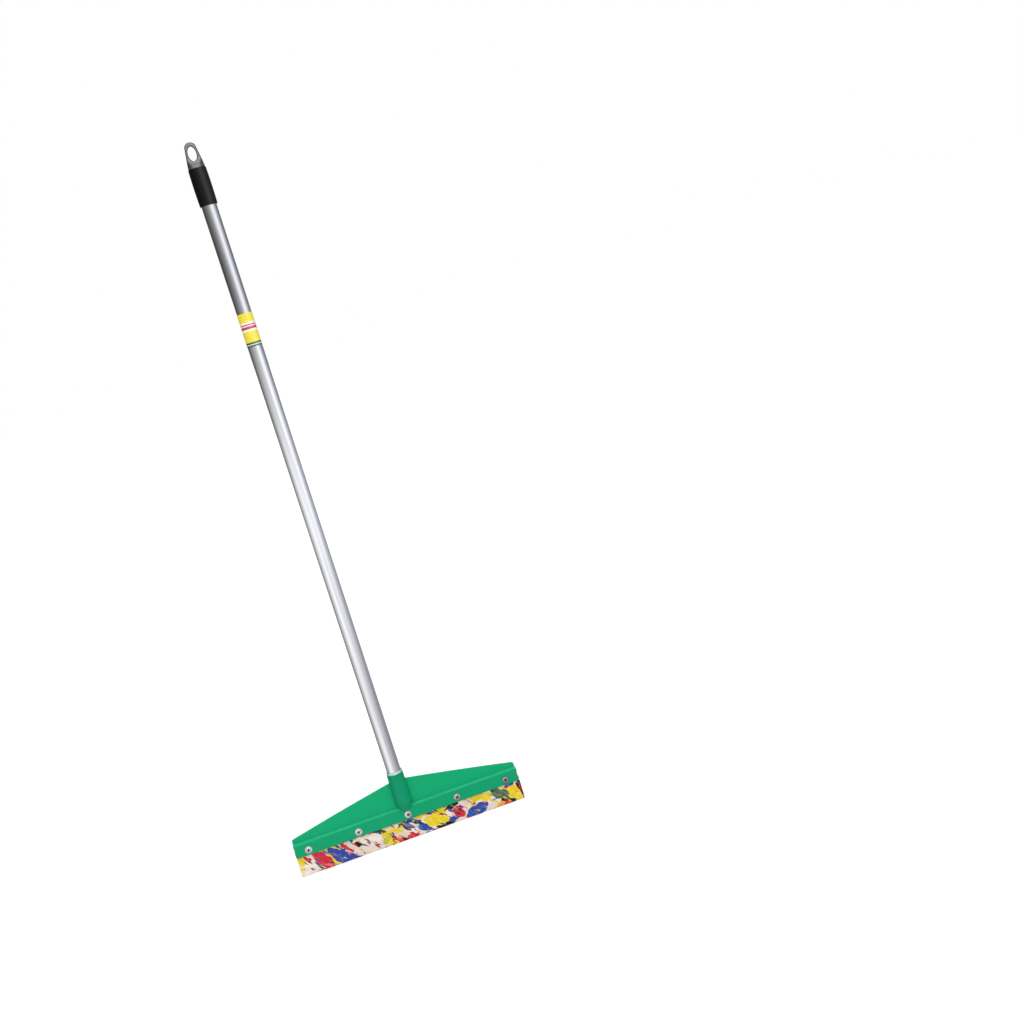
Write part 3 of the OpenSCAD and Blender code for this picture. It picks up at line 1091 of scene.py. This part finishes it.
@dataclass
class Head:
    """The moulded head: plate, blade channel, handle socket, and closed bosses behind the screws."""

    screws: Screws
    plate_thick: float = 3.5 * MM
    plate_mid: float = 49.0 * MM
    plate_end: float = 8.0 * MM
    plate_crown: float = 1.0 * MM
    plate_corner: float = 3.0 * MM
    plate_edge: float = 0.9 * MM
    channel_high: float = 24.5 * MM
    channel_front: float = -7.0 * MM
    channel_rear: float = 10.0 * MM
    channel_wall: float = 2.25 * MM
    channel_roof: float = 2.5 * MM
    shoulder: float = 3.5 * MM
    web_fillet: float = 1.5 * MM
    socket_fillet: float = 1.2 * MM
    base_r: float = 15.15 * MM
    mouth_r: float = 14.15 * MM
    nose_rise: float = 9.64 * MM
    nose_stretch: float = 1.35
    bevel_wide: float = 0.8 * MM
    bevel_high: float = 4.0 * MM
    bevel_edge: float = 0.8 * MM
    rim: float = 0.3 * MM
    bore_r: float = 12.55 * MM
    nut_r: float = 11.75 * MM
    thread_rise: float = 4.0 * MM
    thread_first: float = 6.21 * MM
    thread_last: float = 28.42 * MM
    thread_pitch: float = 5.0 * MM
    thread_deep: float = 1.6 * MM
    thread_crest: float = 1.13 * MM
    thread_foot: float = 1.71 * MM
    pip_r: float = 4.5 * MM
    pip_first: float = 7.5 * MM
    pip_last: float = 16.5 * MM
    pip_back: float = 11.85 * MM
    boss_r: float = 4.875 * MM
    boss_back: float = 8.125 * MM
    hole_r: float = 2.05 * MM
    hole_end: float = 11.8 * MM
    soft_edge: float = 0.5 * MM
    pip_fillet: float = 0.8 * MM
    boss_fillet: float = 0.6 * MM
    # painted backlight: its share on the bar, and how fast it fades from each part
    bar_backlight: float = 0.5
    backlight_reach: float = 1.6 * MM
    # painted shade in the fold over the channel
    crease_high: float = 0.9 * MM
    crease_reach: float = 0.6 * MM
    crease_shade_share: float = 0.45
    # painted highlight on the shoulders
    ledge_reach: float = 0.25 * MM
    ledge_tilt: float = 0.1
    ledge_turn: float = 0.35
    # painted highlight on the mouth's bevel
    rim_tilt: float = 0.05
    rim_back: float = 0.15
    edge_depth: float = 1.0 * MM
    grid_socket: Fineness = (17 * MM, 0.5 * MM)
    grid_end: Fineness = (4 * MM, 0.8 * MM)
    grid_screw: Fineness = (5 * MM, 1.3 * MM)
    grid_foot: Fineness = (1.5 * MM, 0.6 * MM)
    grid_shoulder: Fineness = (4 * MM, 0.65 * MM)
    grid_mouth: Fineness = (4 * MM, 0.5 * MM)
    grid_along: float = 3.2 * MM
    grid_deep: float = 0.57 * MM
    grid_up: float = 0.9 * MM
    grid_under: float = 1.55 * MM
    grid_side: float = 3.0 * MM
    grid_margin: float = 2.0 * MM

    def __post_init__(self) -> None:
        """Takes the head's place from its CAD node."""
        low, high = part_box("head_body")
        self.half, self.channel_low, self.mouth_z = high.x, low.z, high.z
        self.channel_top = self.channel_low + self.channel_high
        self.nose_z = self.channel_top + self.nose_rise
        self.thread_low = self.channel_top + self.thread_rise
        self.thread_start = self.channel_top + self.thread_first
        self.thread_top = self.channel_top + self.thread_last
        self.pip_low = self.channel_top + self.pip_first
        self.pip_high = self.channel_top + self.pip_last

    def nearest_screw(self, x: Array) -> Array:
        """Distance along X to the nearest screw."""
        return np.min(np.abs(np.asarray(x)[..., None] - self.screws.middles()), axis=-1)

    def channel(self, x: Array, y: Array, z: Array) -> Array:
        """Solid channel bar: front, back, top and ends, with round shoulders.

        Args:
            x: Places along X.
            y: Places along Y.
            z: Places along Z.

        Returns:
            The field, negative inside.
        """
        sides = np.maximum(self.channel_front - y, y - self.channel_rear)
        section = meet_round(sides, z - self.channel_top, self.shoulder)
        section = meet_round(section, self.channel_low - z, self.soft_edge)
        return meet_round(section, np.abs(x) - self.half, self.soft_edge)

    def plate(self, x: Array, y: Array, z: Array) -> Array:
        """Flat plate under a bowed edge: its height falls to the ends by a straight line and a crown.

        Args:
            x: Places along X.
            y: Places along Y.
            z: Places along Z.

        Returns:
            The field, negative inside.
        """
        share = np.abs(x) / self.half
        drop = self.plate_end - self.plate_mid
        top = self.channel_top + self.plate_mid + drop * share + 4 * self.plate_crown * share * (1 - share)
        lean = (drop + 4 * self.plate_crown * (1 - 2 * share)) / self.half
        outline = meet_round((z - top) / np.sqrt(1 + lean**2), np.abs(x) - self.half, self.plate_corner)
        outline = np.maximum(outline, self.channel_top - self.channel_roof / 2 - z)
        return meet_round(outline, np.abs(y) - self.plate_thick / 2, self.plate_edge)

    def socket(self, x: Array, y: Array, z: Array) -> Array:
        """Tapered socket with a long round lower end and a bevelled rim.

        Args:
            x: Places along X.
            y: Places along Y.
            z: Places along Z.

        Returns:
            The field, negative inside.
        """
        r = np.hypot(x, y)
        taper = (self.mouth_r - self.base_r) / (self.mouth_z - self.nose_z)
        cone = (r - self.base_r - taper * (z - self.nose_z)) / math.hypot(1, taper)
        ball = np.hypot(r, (z - self.nose_z) / self.nose_stretch) - self.base_r
        lean = self.bevel_wide / self.bevel_high
        bevel = (r - self.mouth_r + self.bevel_wide + lean * (z - self.mouth_z)) / math.hypot(1, lean)
        side = meet_round(np.where(z < self.nose_z, ball, cone), bevel, self.bevel_edge)
        return meet_round(side, z - self.mouth_z, self.rim)

    def bore(self, x: Array, y: Array, z: Array) -> Array:
        """Room for the tube, and below it a bore with a helical ridge.

        Formula: the ridge falls from its crest to its foot with the offset along Z from the nearest turn of
        the helix, and it fades out at both ends.

        Args:
            x: Places along X.
            y: Places along Y.
            z: Places along Z.

        Returns:
            The field, negative inside.
        """
        turn = (z - self.thread_start) / self.thread_pitch - np.arctan2(y, x) / (2 * np.pi)
        off = np.abs(turn - np.round(turn)) * self.thread_pitch
        flank = np.clip((self.thread_foot - off) / (self.thread_foot - self.thread_crest), 0, 1)
        ends = np.clip(np.minimum(z - self.thread_low - MM, self.thread_top - MM - z) / MM, 0, 1)
        wall = np.where(z > self.thread_top, self.bore_r, self.nut_r - flank * self.thread_deep * ends)
        return np.maximum(np.hypot(x, y) - wall, self.thread_low - z)

    def shape(self, x: Array, y: Array, z: Array) -> Array:
        """The whole moulding: bar, plate, socket, pip and bosses, less the slot, the bore and the holes.

        Args:
            x: Places along X.
            y: Places along Y.
            z: Places along Z.

        Returns:
            The field, negative inside.
        """
        body = join_fillet(self.channel(x, y, z), self.plate(x, y, z), self.web_fillet)
        body = join_fillet(body, self.socket(x, y, z), self.socket_fillet)
        rise = z - np.clip(z, self.pip_low, self.pip_high)
        pip = np.sqrt(x**2 + (y - self.pip_back) ** 2 + rise**2) - self.pip_r
        body = join_fillet(body, pip, self.pip_fillet)
        along, up = self.nearest_screw(x), z - self.screws.height()
        boss = np.sqrt(along**2 + (y - self.boss_back) ** 2 + up**2) - self.boss_r
        body = join_fillet(body, boss, self.boss_fillet)
        middle = (self.channel_front + self.channel_rear) / 2
        half = (self.channel_rear - self.channel_front) / 2 - self.channel_wall
        under_roof = z - self.channel_top + self.channel_roof
        slot = meet_round(np.abs(y - middle) - half, under_roof, self.soft_edge)
        body = cut_round(body, slot, self.soft_edge)
        body = cut_round(body, self.bore(x, y, z), self.soft_edge)
        hole = np.maximum(np.hypot(along, up) - self.hole_r, y - self.hole_end)
        return np.maximum(body, -hole)

    def painted_backlight(self, points: Array) -> Array:
        """How much brighter the plastic is painted, as a mean by nearness to the plate, the bar and the
        socket.

        Args:
            points: Points on the skin, one to a row.

        Returns:
            The share of painted backlight: 1 on the thin plate, less on the bar, 0 on the thick socket.
        """
        fields = np.stack([shape(*points.T) for shape in (self.plate, self.channel, self.socket)])
        near = np.exp(-np.maximum(fields, 0) / self.backlight_reach)
        return (np.array([1.0, self.bar_backlight, 0.0]) @ near) / near.sum(axis=0)

    def ledge(self, skin: Skin) -> Array:
        """How much painted highlight each point gets on the channel's round shoulders, where they face
        upward.

        Args:
            skin: The head's skin, with normals.

        Returns:
            The share at each point.
        """
        rise = np.clip((skin.normals[:, 2] - self.ledge_tilt) / self.ledge_turn, 0, 1)
        near = np.exp(-np.maximum(self.channel(*skin.points.T), 0) / self.ledge_reach)
        return rise * near * (skin.points[:, 2] > self.channel_low + self.channel_high / 2)

    def crease_shade(self, points: Array) -> Array:
        """How much painted shade each point gets in the fold where the plate stands on the channel.

        Formula: a bell over the height, which fades away from the plate.

        Args:
            points: Points on the skin, one to a row.

        Returns:
            The share at each point.
        """
        on_plate = np.exp(-np.maximum(self.plate(*points.T), 0) / self.crease_reach)
        rise = (points[:, 2] - self.channel_top - self.crease_high) / self.crease_high
        return self.crease_shade_share * on_plate * np.exp(-(rise**2))

    def rim_highlight_share(self, skin: Skin) -> Array:
        """How much painted highlight each point gets on the bevel of the socket's mouth, most at the front.

        Args:
            skin: The head's skin, with normals.

        Returns:
            The share at each point.
        """
        rise = (skin.points[:, 2] - self.mouth_z + self.bevel_high) / (0.5 * self.bevel_high)
        front = 0.5 - 0.5 * skin.points[:, 1] / np.maximum(np.hypot(*skin.points[:, :2].T), MM)
        shine = self.rim_back + (1 - self.rim_back) * front**3
        return np.clip(rise, 0, 1) * (skin.normals[:, 2] > self.rim_tilt) * shine

    def build(self) -> bpy.types.Object:
        """Meshes the moulding on a grid that is finest at the socket, the screws and the ends.

        Returns:
            The moulding.
        """
        along = [(0.0, *self.grid_socket), (-self.half, *self.grid_end), (self.half, *self.grid_end)]
        along += [(float(m), *self.grid_screw) for m in self.screws.middles()]
        up = [
            (self.channel_low, *self.grid_foot), (self.channel_top - MM, *self.grid_shoulder),
            (self.mouth_z, *self.grid_mouth),
        ]
        margin, reach = self.grid_margin, self.base_r + self.grid_side
        lines = (
            graded_lines(-self.half - margin, self.half + margin, self.grid_along, along),
            np.arange(-reach, reach + margin, self.grid_deep),
            graded_lines(self.channel_low - self.grid_under, self.mouth_z + margin, self.grid_up, up),
        )
        skin = surface_net(self.shape, lines)
        # masks of painted light: backlight, shade on edges and in the fold, highlights on shoulders and rim
        edge = edge_share(self.shape, skin, self.edge_depth)
        skin.values = {
            "painted_backlight": self.painted_backlight(skin.points), "edge": np.maximum(edge, self.crease_shade(skin.points)),
            "ledge": self.ledge(skin), "rim": self.rim_highlight_share(skin),
        }
        return put("head_moulding", skin, GreenMoulding(), Body.HEAD, ["head_body"])


@dataclass
class Blade:
    """Strip of pressed chip foam in the head's channel."""

    head: Head
    corner: float = 3.0 * MM
    edge: float = 0.7 * MM
    wave: float = 0.18 * MM
    wave_length: float = 74 * MM
    wave_ratio: float = 0.43
    wave_rise: float = 40.0
    wave_fall: float = 60.0
    wave_fade: float = 12 * MM
    grid_end: Fineness = (8 * MM, 0.8 * MM)
    grid_screw: Fineness = (3 * MM, 0.8 * MM)
    grid_foot: Fineness = (6 * MM, 0.7 * MM)
    grid_along: float = 2.6 * MM
    grid_deep: float = 0.7 * MM
    grid_up: float = 1.6 * MM
    grid_front: float = 1.35 * MM
    grid_under: float = 1.4 * MM
    grid_margin: float = 2.0 * MM

    def __post_init__(self) -> None:
        """Takes the blade's place from its CAD node."""
        self.low, self.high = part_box("foam_blade")

    def shape(self, x: Array, y: Array, z: Array) -> Array:
        """A slab with round lower corners and soft cut edges.

        Formula: below the channel its faces swell and sink by the product of two slow waves.

        Args:
            x: Places along X.
            y: Places along Y.
            z: Places along Z.

        Returns:
            The field, negative inside.
        """
        outline = meet_round(np.abs(x) - self.high.x, self.low.z - z, self.corner)
        outline = meet_round(outline, z - self.high.z, self.edge)
        free = np.clip((self.head.channel_low - z) / self.wave_fade, 0, 1)
        phase = 2 * np.pi / self.wave_length
        across = np.cos(phase * self.wave_ratio * x - self.wave_fall * z)
        swell = self.wave * free * np.sin(phase * x + self.wave_rise * z) * across
        middle = (self.low.y + self.high.y) / 2
        face = np.abs(y - middle) - (self.high.y - self.low.y) / 2 - swell
        hole = np.hypot(self.head.nearest_screw(x), z - self.head.screws.height()) - self.head.hole_r
        return np.maximum(meet_round(outline, face, self.edge), -hole)

    def build(self) -> bpy.types.Object:
        """Meshes the slab, finest at the screw holes and the ends.

        Returns:
            The foam strip.
        """
        along = [(self.low.x, *self.grid_end), (self.high.x, *self.grid_end)]
        along += [(float(m), *self.grid_screw) for m in self.head.screws.middles()]
        up = [(self.low.z, *self.grid_foot)]
        margin = self.grid_margin
        lines = (
            graded_lines(self.low.x - margin, self.high.x + margin, self.grid_along, along),
            np.arange(self.low.y - self.grid_front, self.high.y + margin, self.grid_deep),
            graded_lines(self.low.z - self.grid_under, self.high.z + margin, self.grid_up, up),
        )
        skin = surface_net(self.shape, lines)
        piece = put("foam_strip", skin, ChipFoam(front=self.low.y), Body.HEAD, ["foam_blade"])
        return piece


@dataclass
class Handle:
    """Tube, label, grip and hanging loop, and the threaded tip that stays as its CAD node."""

    segments: int = 160
    tube_wall: float = 0.8 * MM
    tube_edge: float = 0.25 * MM
    label_edge: float = 0.06 * MM
    grip_wall: float = 1.9 * MM
    grip_swell: float = 0.5 * MM
    grip_edge: float = 1.0 * MM
    label_gap: float = 0.03 * MM
    grip_gap: float = 0.05 * MM
    tube_rows: int = 60
    label_rows: int = 40
    grip_rows: int = 64
    loop_step: float = 0.35 * MM
    loop_taper: float = 4.5 * MM
    loop_foot: float = 1.0 * MM
    loop_thick: float = 9.0 * MM
    eye_side: float = 2.8 * MM
    eye_high: float = 23.5 * MM
    eye_rim: float = 6.5 * MM
    loop_edge: float = 2.2 * MM
    eye_lip: float = 1.9 * MM
    plug_len: float = 30.0 * MM
    plug_gap: float = 0.05 * MM
    plug_end: float = 0.6 * MM
    plug_edge: float = 0.5 * MM
    foot_edge: float = 0.8 * MM
    seat_edge: float = 0.3 * MM
    flat_lean: float = 0.82
    loop_grid: float = 0.42 * MM

    def __post_init__(self) -> None:
        """Takes the handle's levels from its CAD nodes."""
        tube_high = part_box("handle_tube")[1]
        self.tube_r, self.tube_top = tube_high.x, tube_high.z
        self.grip_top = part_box("grip_sleeve")[1].z
        self.loop_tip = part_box("hang_loop")[1].z
        self.loop_foot_r = self.tube_r + self.grip_wall - self.loop_step
        self.loop_r = self.loop_foot_r - self.loop_taper
        self.eye_z = self.loop_tip - self.eye_rim - self.eye_high / 2

    def sleeve(
        self, node: str, inner: float, rim: float, edge: float, rows: int, swell: float = 0.0
    ) -> Skin:
        """A turned sleeve in the place of a CAD node.

        Formula: the outer radius is the rim's plus a parabola as high as the swell at the middle.

        Args:
            node: The CAD node.
            inner: Radius of the bore.
            rim: Outer radius at both ends.
            edge: Radius of the rounded outer edges.
            rows: Number of heights.
            swell: How much wider the middle is.

        Returns:
            The surface.
        """
        low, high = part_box(node)
        heights = np.linspace(low.z, high.z, rows)
        share = (heights - low.z) / (high.z - low.z)
        outer = rim + 4 * swell * share * (1 - share)
        return lathe(sleeve_profile(inner, outer, heights, edge), self.segments, True)

    def tube(self) -> bpy.types.Object:
        """Makes the tube: a thin sleeve with eased ends.

        Returns:
            The tube.
        """
        inner = self.tube_r - self.tube_wall
        skin = self.sleeve("handle_tube", inner, self.tube_r, self.tube_edge, self.tube_rows)
        return put("tube", skin, SatinAluminium(), Body.HANDLE, ["handle_tube"])

    def label(self) -> bpy.types.Object:
        """Wraps the label round the tube.

        Returns:
            The film.
        """
        low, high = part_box("tube_label")
        inner = self.tube_r + self.label_gap
        skin = self.sleeve("tube_label", inner, high.x, self.label_edge, self.label_rows)
        return put("label_film", skin, LabelFilm(low=low.z, high=high.z), Body.LABEL, ["tube_label"])

    def grip(self) -> bpy.types.Object:
        """Makes the grip: a sleeve that swells in the middle, with rounded ends.

        Returns:
            The grip.
        """
        inner = self.tube_r + self.grip_gap
        rim = inner + self.grip_wall
        skin = self.sleeve("grip_sleeve", inner, rim, self.grip_edge, self.grip_rows, self.grip_swell)
        black, rubbed = paint(7, 7, 6), paint(16, 16, 15)
        finish = PlainPlastic("grip_plastic", black, rubbed, roughness=0.14, grain=1400, ripple=14.0)
        return put("grip", skin, finish, Body.HANDLE, ["grip_sleeve"])

    def loop_shape(self, x: Array, y: Array, z: Array) -> Array:
        """The hanging loop, on a neck and a plug.

        Formula: a front outline that tapers to a round top is met with a side outline that eases from a
        round foot to a thin ring by a cosine. An oval eye with rolled lips is cut out.

        Args:
            x: Places along X.
            y: Places along Y.
            z: Places along Z.

        Returns:
            The field, negative inside.
        """
        top = self.loop_tip - self.loop_r
        lean = self.loop_taper / (top - self.grip_top)
        side = (np.abs(x) - self.loop_r - lean * (top - z)) / math.hypot(1, lean)
        front = np.where(z > top + lean * np.abs(x), np.hypot(x, z - top) - self.loop_r, side)
        low = self.grip_top + self.loop_foot
        ease = 0.5 + 0.5 * np.cos(np.pi * np.clip((z - low) / (self.eye_z - low), 0, 1))
        half = self.loop_thick / 2 + (self.loop_foot_r - self.loop_thick / 2) * ease
        body = meet_round(front, (np.abs(y) - half) * self.flat_lean, self.loop_edge)
        body = meet_round(body, np.hypot(x, y) - self.loop_foot_r, self.foot_edge)
        body = meet_round(body, self.grip_top - z, self.seat_edge)
        wide, tall = self.loop_r - self.eye_side, self.eye_high / 2
        near = np.hypot(x / wide, (z - self.eye_z) / tall)
        steep = np.maximum(np.hypot(x / wide**2, (z - self.eye_z) / tall**2), 1.0)
        body = cut_round(body, near * (near - 1) / steep, self.eye_lip)
        r = np.hypot(x, y)
        neck = np.maximum(r - self.tube_r, np.maximum(self.tube_top - z, z - low))
        ends = np.abs(z - self.tube_top + self.plug_len / 2) - self.plug_len / 2 - self.plug_end
        plug = meet_round(r - self.tube_r + self.tube_wall + self.plug_gap, ends, self.plug_edge)
        return np.minimum(np.minimum(body, neck), plug)

    def loop(self) -> bpy.types.Object:
        """Meshes the hanging loop on a fine even grid; its sides get painted shade, darker than its faces.

        Returns:
            The loop.
        """
        step = self.loop_grid
        side = np.arange(-self.loop_foot_r - 2.03 * step, self.loop_foot_r + 3 * step, step)
        rise = np.arange(self.tube_top - self.plug_len - 3.3 * step, self.loop_tip + 3 * step, step)
        skin = surface_net(self.loop_shape, (side, side, rise))
        # painted shade on the sides that turn away from the faces
        turned = np.maximum(1 - np.abs(skin.normals[:, 1]), 0)
        skin.values["edge"] = np.clip(2.0 * np.sqrt(turned), 0, 1)
        grey, dark = paint(134, 134, 135), paint(22, 22, 23)
        finish = PlainPlastic("loop_plastic", grey, dark, roughness=0.20, grain=1600, gloss=0.9, edges=True)
        return put("hanging_loop", skin, finish, Body.HANDLE, ["hang_loop"])

    def tip(self) -> None:
        """Dresses the threaded tip, whose CAD shape is right as it is."""
        grey, rubbed = paint(58, 60, 62), paint(88, 90, 92)
        finish = PlainPlastic("tip_plastic", grey, rubbed, roughness=0.40, grain=1400)
        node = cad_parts["thread_tip"]
        node.data.materials.clear()
        node.data.materials.append(finish.material())

    def build(self) -> list[bpy.types.Object]:
        """Makes every piece of the handle."""
        self.tip()
        return [self.tube(), self.label(), self.grip(), self.loop()]


# Studio

@dataclass
class Studio:
    """White floor and surround, soft lamps, a reflection wall for the metal, and the camera."""

    eye: tuple[float, float, float] = (0.00896, -2.13716, 0.88738)
    back: tuple[float, float, float] = (-0.143273, -0.972967, 0.181129)
    up: tuple[float, float, float] = (0.306948, 0.130307, 0.942764)
    lens: float = 45.4825
    floor_half: float = 40.0
    wall_r: float = 0.27
    wall_low: float = -0.1 * MM
    wall_high: float = 1.7
    wall_steps: int = 96
    wall_glow: float = 1.35
    right_least: float = 0.12
    right_fade: tuple[float, float] = (0.0, 0.9)
    left_fade: tuple[float, float] = (0.50, 1.02)
    cool: tuple[float, float, float] = (0.95, 0.97, 1.03)
    cool_from: float = 30.0
    floor_low: float = -0.2 * MM
    floor_tone: float = 0.82
    floor_glow: float = 0.20
    even_light: float = 0.42

    def camera(self) -> None:
        """Stands the camera where the photograph was taken from: its axes are right, up and back."""
        data = bpy.data.cameras.new("camera")
        data.sensor_width, data.lens = 36.0, self.lens
        data.clip_end = 200.0
        back = Vector(self.back).normalized()
        right = Vector(self.up).cross(back).normalized()
        turn = Matrix((right, back.cross(right), back)).transposed().to_4x4()
        cam = bpy.data.objects.new("camera", data)
        cam.matrix_world = Matrix.Translation(self.eye) @ turn
        bpy.context.scene.collection.objects.link(cam)
        bpy.context.scene.camera = cam

    def lamp(self, name: str, azimuth: float, elevation: float, strength: float, spread: float) -> None:
        """Hangs a wide distant lamp.

        Args:
            name: The lamp's name.
            azimuth: Where it stands round the object, in degrees from +X.
            elevation: Its height above the horizon in degrees.
            strength: Light on a face turned to it.
            spread: Its apparent width in degrees.
        """
        data = bpy.data.lights.new(name, "SUN")
        data.energy, data.angle = strength, math.radians(spread)
        a, e = math.radians(azimuth), math.radians(elevation)
        towards = Vector((math.cos(a) * math.cos(e), math.sin(a) * math.cos(e), math.sin(e)))
        made = bpy.data.objects.new(name, data)
        made.matrix_world = towards.to_track_quat("Z", "Y").to_matrix().to_4x4()
        bpy.context.scene.collection.objects.link(made)

    def seen(self, g: Graph) -> Socket:
        """Tells the rays that the eye sees by.

        Args:
            g: The graph of a floor or a surround.

        Returns:
            One for rays from the camera, and for those that metal and clear pieces send on.
        """
        kinds = ("Is Camera Ray", "Is Glossy Ray", "Is Transmission Ray")
        eye, gloss, clear = (g.node("ShaderNodeLightPath", output=kind) for kind in kinds)
        return eye.most(gloss).most(clear)

    def world(self) -> None:
        """Shows white to the eye and gives a low even light."""
        world = bpy.data.worlds.new("surround")
        world.use_nodes = True
        bpy.context.scene.world = world
        g = Graph(world.node_tree)
        strength = self.even_light + (1 - self.even_light) * self.seen(g)
        glow = g.node("ShaderNodeBackground", None, {"Color": (1, 1, 1, 1), "Strength": strength})
        g.node("ShaderNodeOutputWorld", None, {"Surface": glow})

    def floor(self) -> None:
        """A white floor that keeps the shadow: a matt face with a little glow for what the eye sees."""
        size, low = self.floor_half, self.floor_low
        corners = [(x * size, y * size, low) for x, y in ((-1, -1), (1, -1), (1, 1), (-1, 1))]
        mesh = bpy.data.meshes.new("floor")
        mesh.from_pydata(corners, [], [(0, 1, 2, 3)])
        made, g = material_graph("floor_paper")
        matt = g.node("ShaderNodeBsdfDiffuse", None, {"Color": (*[self.floor_tone] * 3, 1)})
        glow = g.node("ShaderNodeEmission", None, {"Strength": self.seen(g) * self.floor_glow})
        both = g.node("ShaderNodeAddShader", None, {0: matt, 1: glow})
        g.node("ShaderNodeOutputMaterial", None, {"Surface": both})
        mesh.materials.append(made)
        floor = bpy.data.objects.new("floor", mesh)
        bpy.context.scene.collection.objects.link(floor)

    def strip(self, g: Graph, turn: Socket, lights: list[tuple[float, float]]) -> Socket:
        """Ramp of grey over the turn from the camera's side, cooler to the right.

        Args:
            g: The material's graph.
            turn: Share of a whole turn, 0.5 at the camera's side.
            lights: Degrees from the camera's side, and brightness.

        Returns:
            The colour.
        """
        stops = []
        for degrees, value in lights:
            tint = np.array(self.cool if degrees >= self.cool_from else (1.0, 1.0, 1.0))
            stops.append((0.5 + degrees / 360, (*(value * tint).tolist(), 1.0)))
        return g.node("ShaderNodeValToRGB", {"stops": stops}, {0: turn})

    def wall(self) -> None:
        """A round wall and the disc under it, which only gloss sees, with two upright bright strips.

        Formula: each strip is a ramp over the angle from the camera's side. The right one is brightest high
        up and fades downward, and the left one comes in below the middle. A third strip lies behind.
        """
        i = np.arange(self.wall_steps)
        after = np.roll(i, -1)
        a = i * 2 * np.pi / self.wall_steps
        x, y = self.wall_r * np.cos(a), self.wall_r * np.sin(a)
        levels = (self.wall_low, self.wall_high)
        points = np.concatenate([np.c_[x, y, np.full(self.wall_steps, level)] for level in levels])
        faces = np.c_[i, after, after + self.wall_steps, i + self.wall_steps]
        mesh = bpy.data.meshes.new("gloss_wall")
        mesh.from_pydata(points.tolist(), [], faces.tolist() + [i.tolist()])
        made, g = material_graph("gloss_wall")
        split = {k: g.node("ShaderNodeSeparateXYZ", None, {0: g.place()}, k) for k in "XYZ"}
        turn = (split["Y"].angle(split["X"]) / (2 * math.pi) + 0.75).fraction()
        right = self.strip(g, turn, [
            (-180, 0.9), (-164, 0.6), (-150, 0.07), (-110, 0.045), (-45, 0.14), (-8, 0.29), (38, 0.97),
            (82, 0.33), (110, 0.14), (150, 0.14), (164, 0.6), (180, 0.9),
        ])
        left = self.strip(g, turn, [
            (-180, 0.5), (-164, 0.4), (-150, 0.20), (-107, 0.245), (-42, 0.85), (-25, 0.80), (8, 0.47),
            (43, 0.26), (107, 0.21), (150, 0.28), (164, 0.4), (180, 0.5),
        ])
        rise = split["Z"].ease(*self.right_fade)
        right = g.mix(1.0, right, self.right_least + (1 - self.right_least) * rise, "MULTIPLY")
        left = g.mix(1.0, left, 1.0 - split["Z"].ease(*self.left_fade), "MULTIPLY")
        both = {"Color": g.mix(1.0, right, left, "ADD"), "Strength": self.wall_glow}
        glow = g.node("ShaderNodeEmission", None, both)
        g.node("ShaderNodeOutputMaterial", None, {"Surface": glow})
        made.cycles.emission_sampling = "NONE"
        mesh.materials.append(made)
        wall = bpy.data.objects.new("gloss_wall", mesh)
        wall.visible_camera = wall.visible_diffuse = wall.visible_shadow = False
        wall.visible_transmission = wall.visible_volume_scatter = False
        bpy.context.scene.collection.objects.link(wall)

    def build(self) -> None:
        """Sets the whole studio."""
        bpy.context.scene.view_settings.view_transform = "Standard"
        self.camera()
        self.world()
        self.floor()
        self.wall()
        self.lamp("key", -58, 48, 1.5, 60)
        self.lamp("fill", -128, 34, 0.6, 70)
        self.lamp("top", -90, 78, 0.8, 60)
        self.lamp("back", 95, 40, 0.8, 70)


def main() -> None:
    """Builds the squeegee's pieces in order, then the studio."""
    logging.basicConfig(level=logging.INFO, format="%(name)s: %(message)s")
    screws = Screws()
    head = Head(screws)
    head.build()
    Blade(head).build()
    screws.build()
    Handle().build()
    Studio().build()


if __name__ == "__main__":
    main()
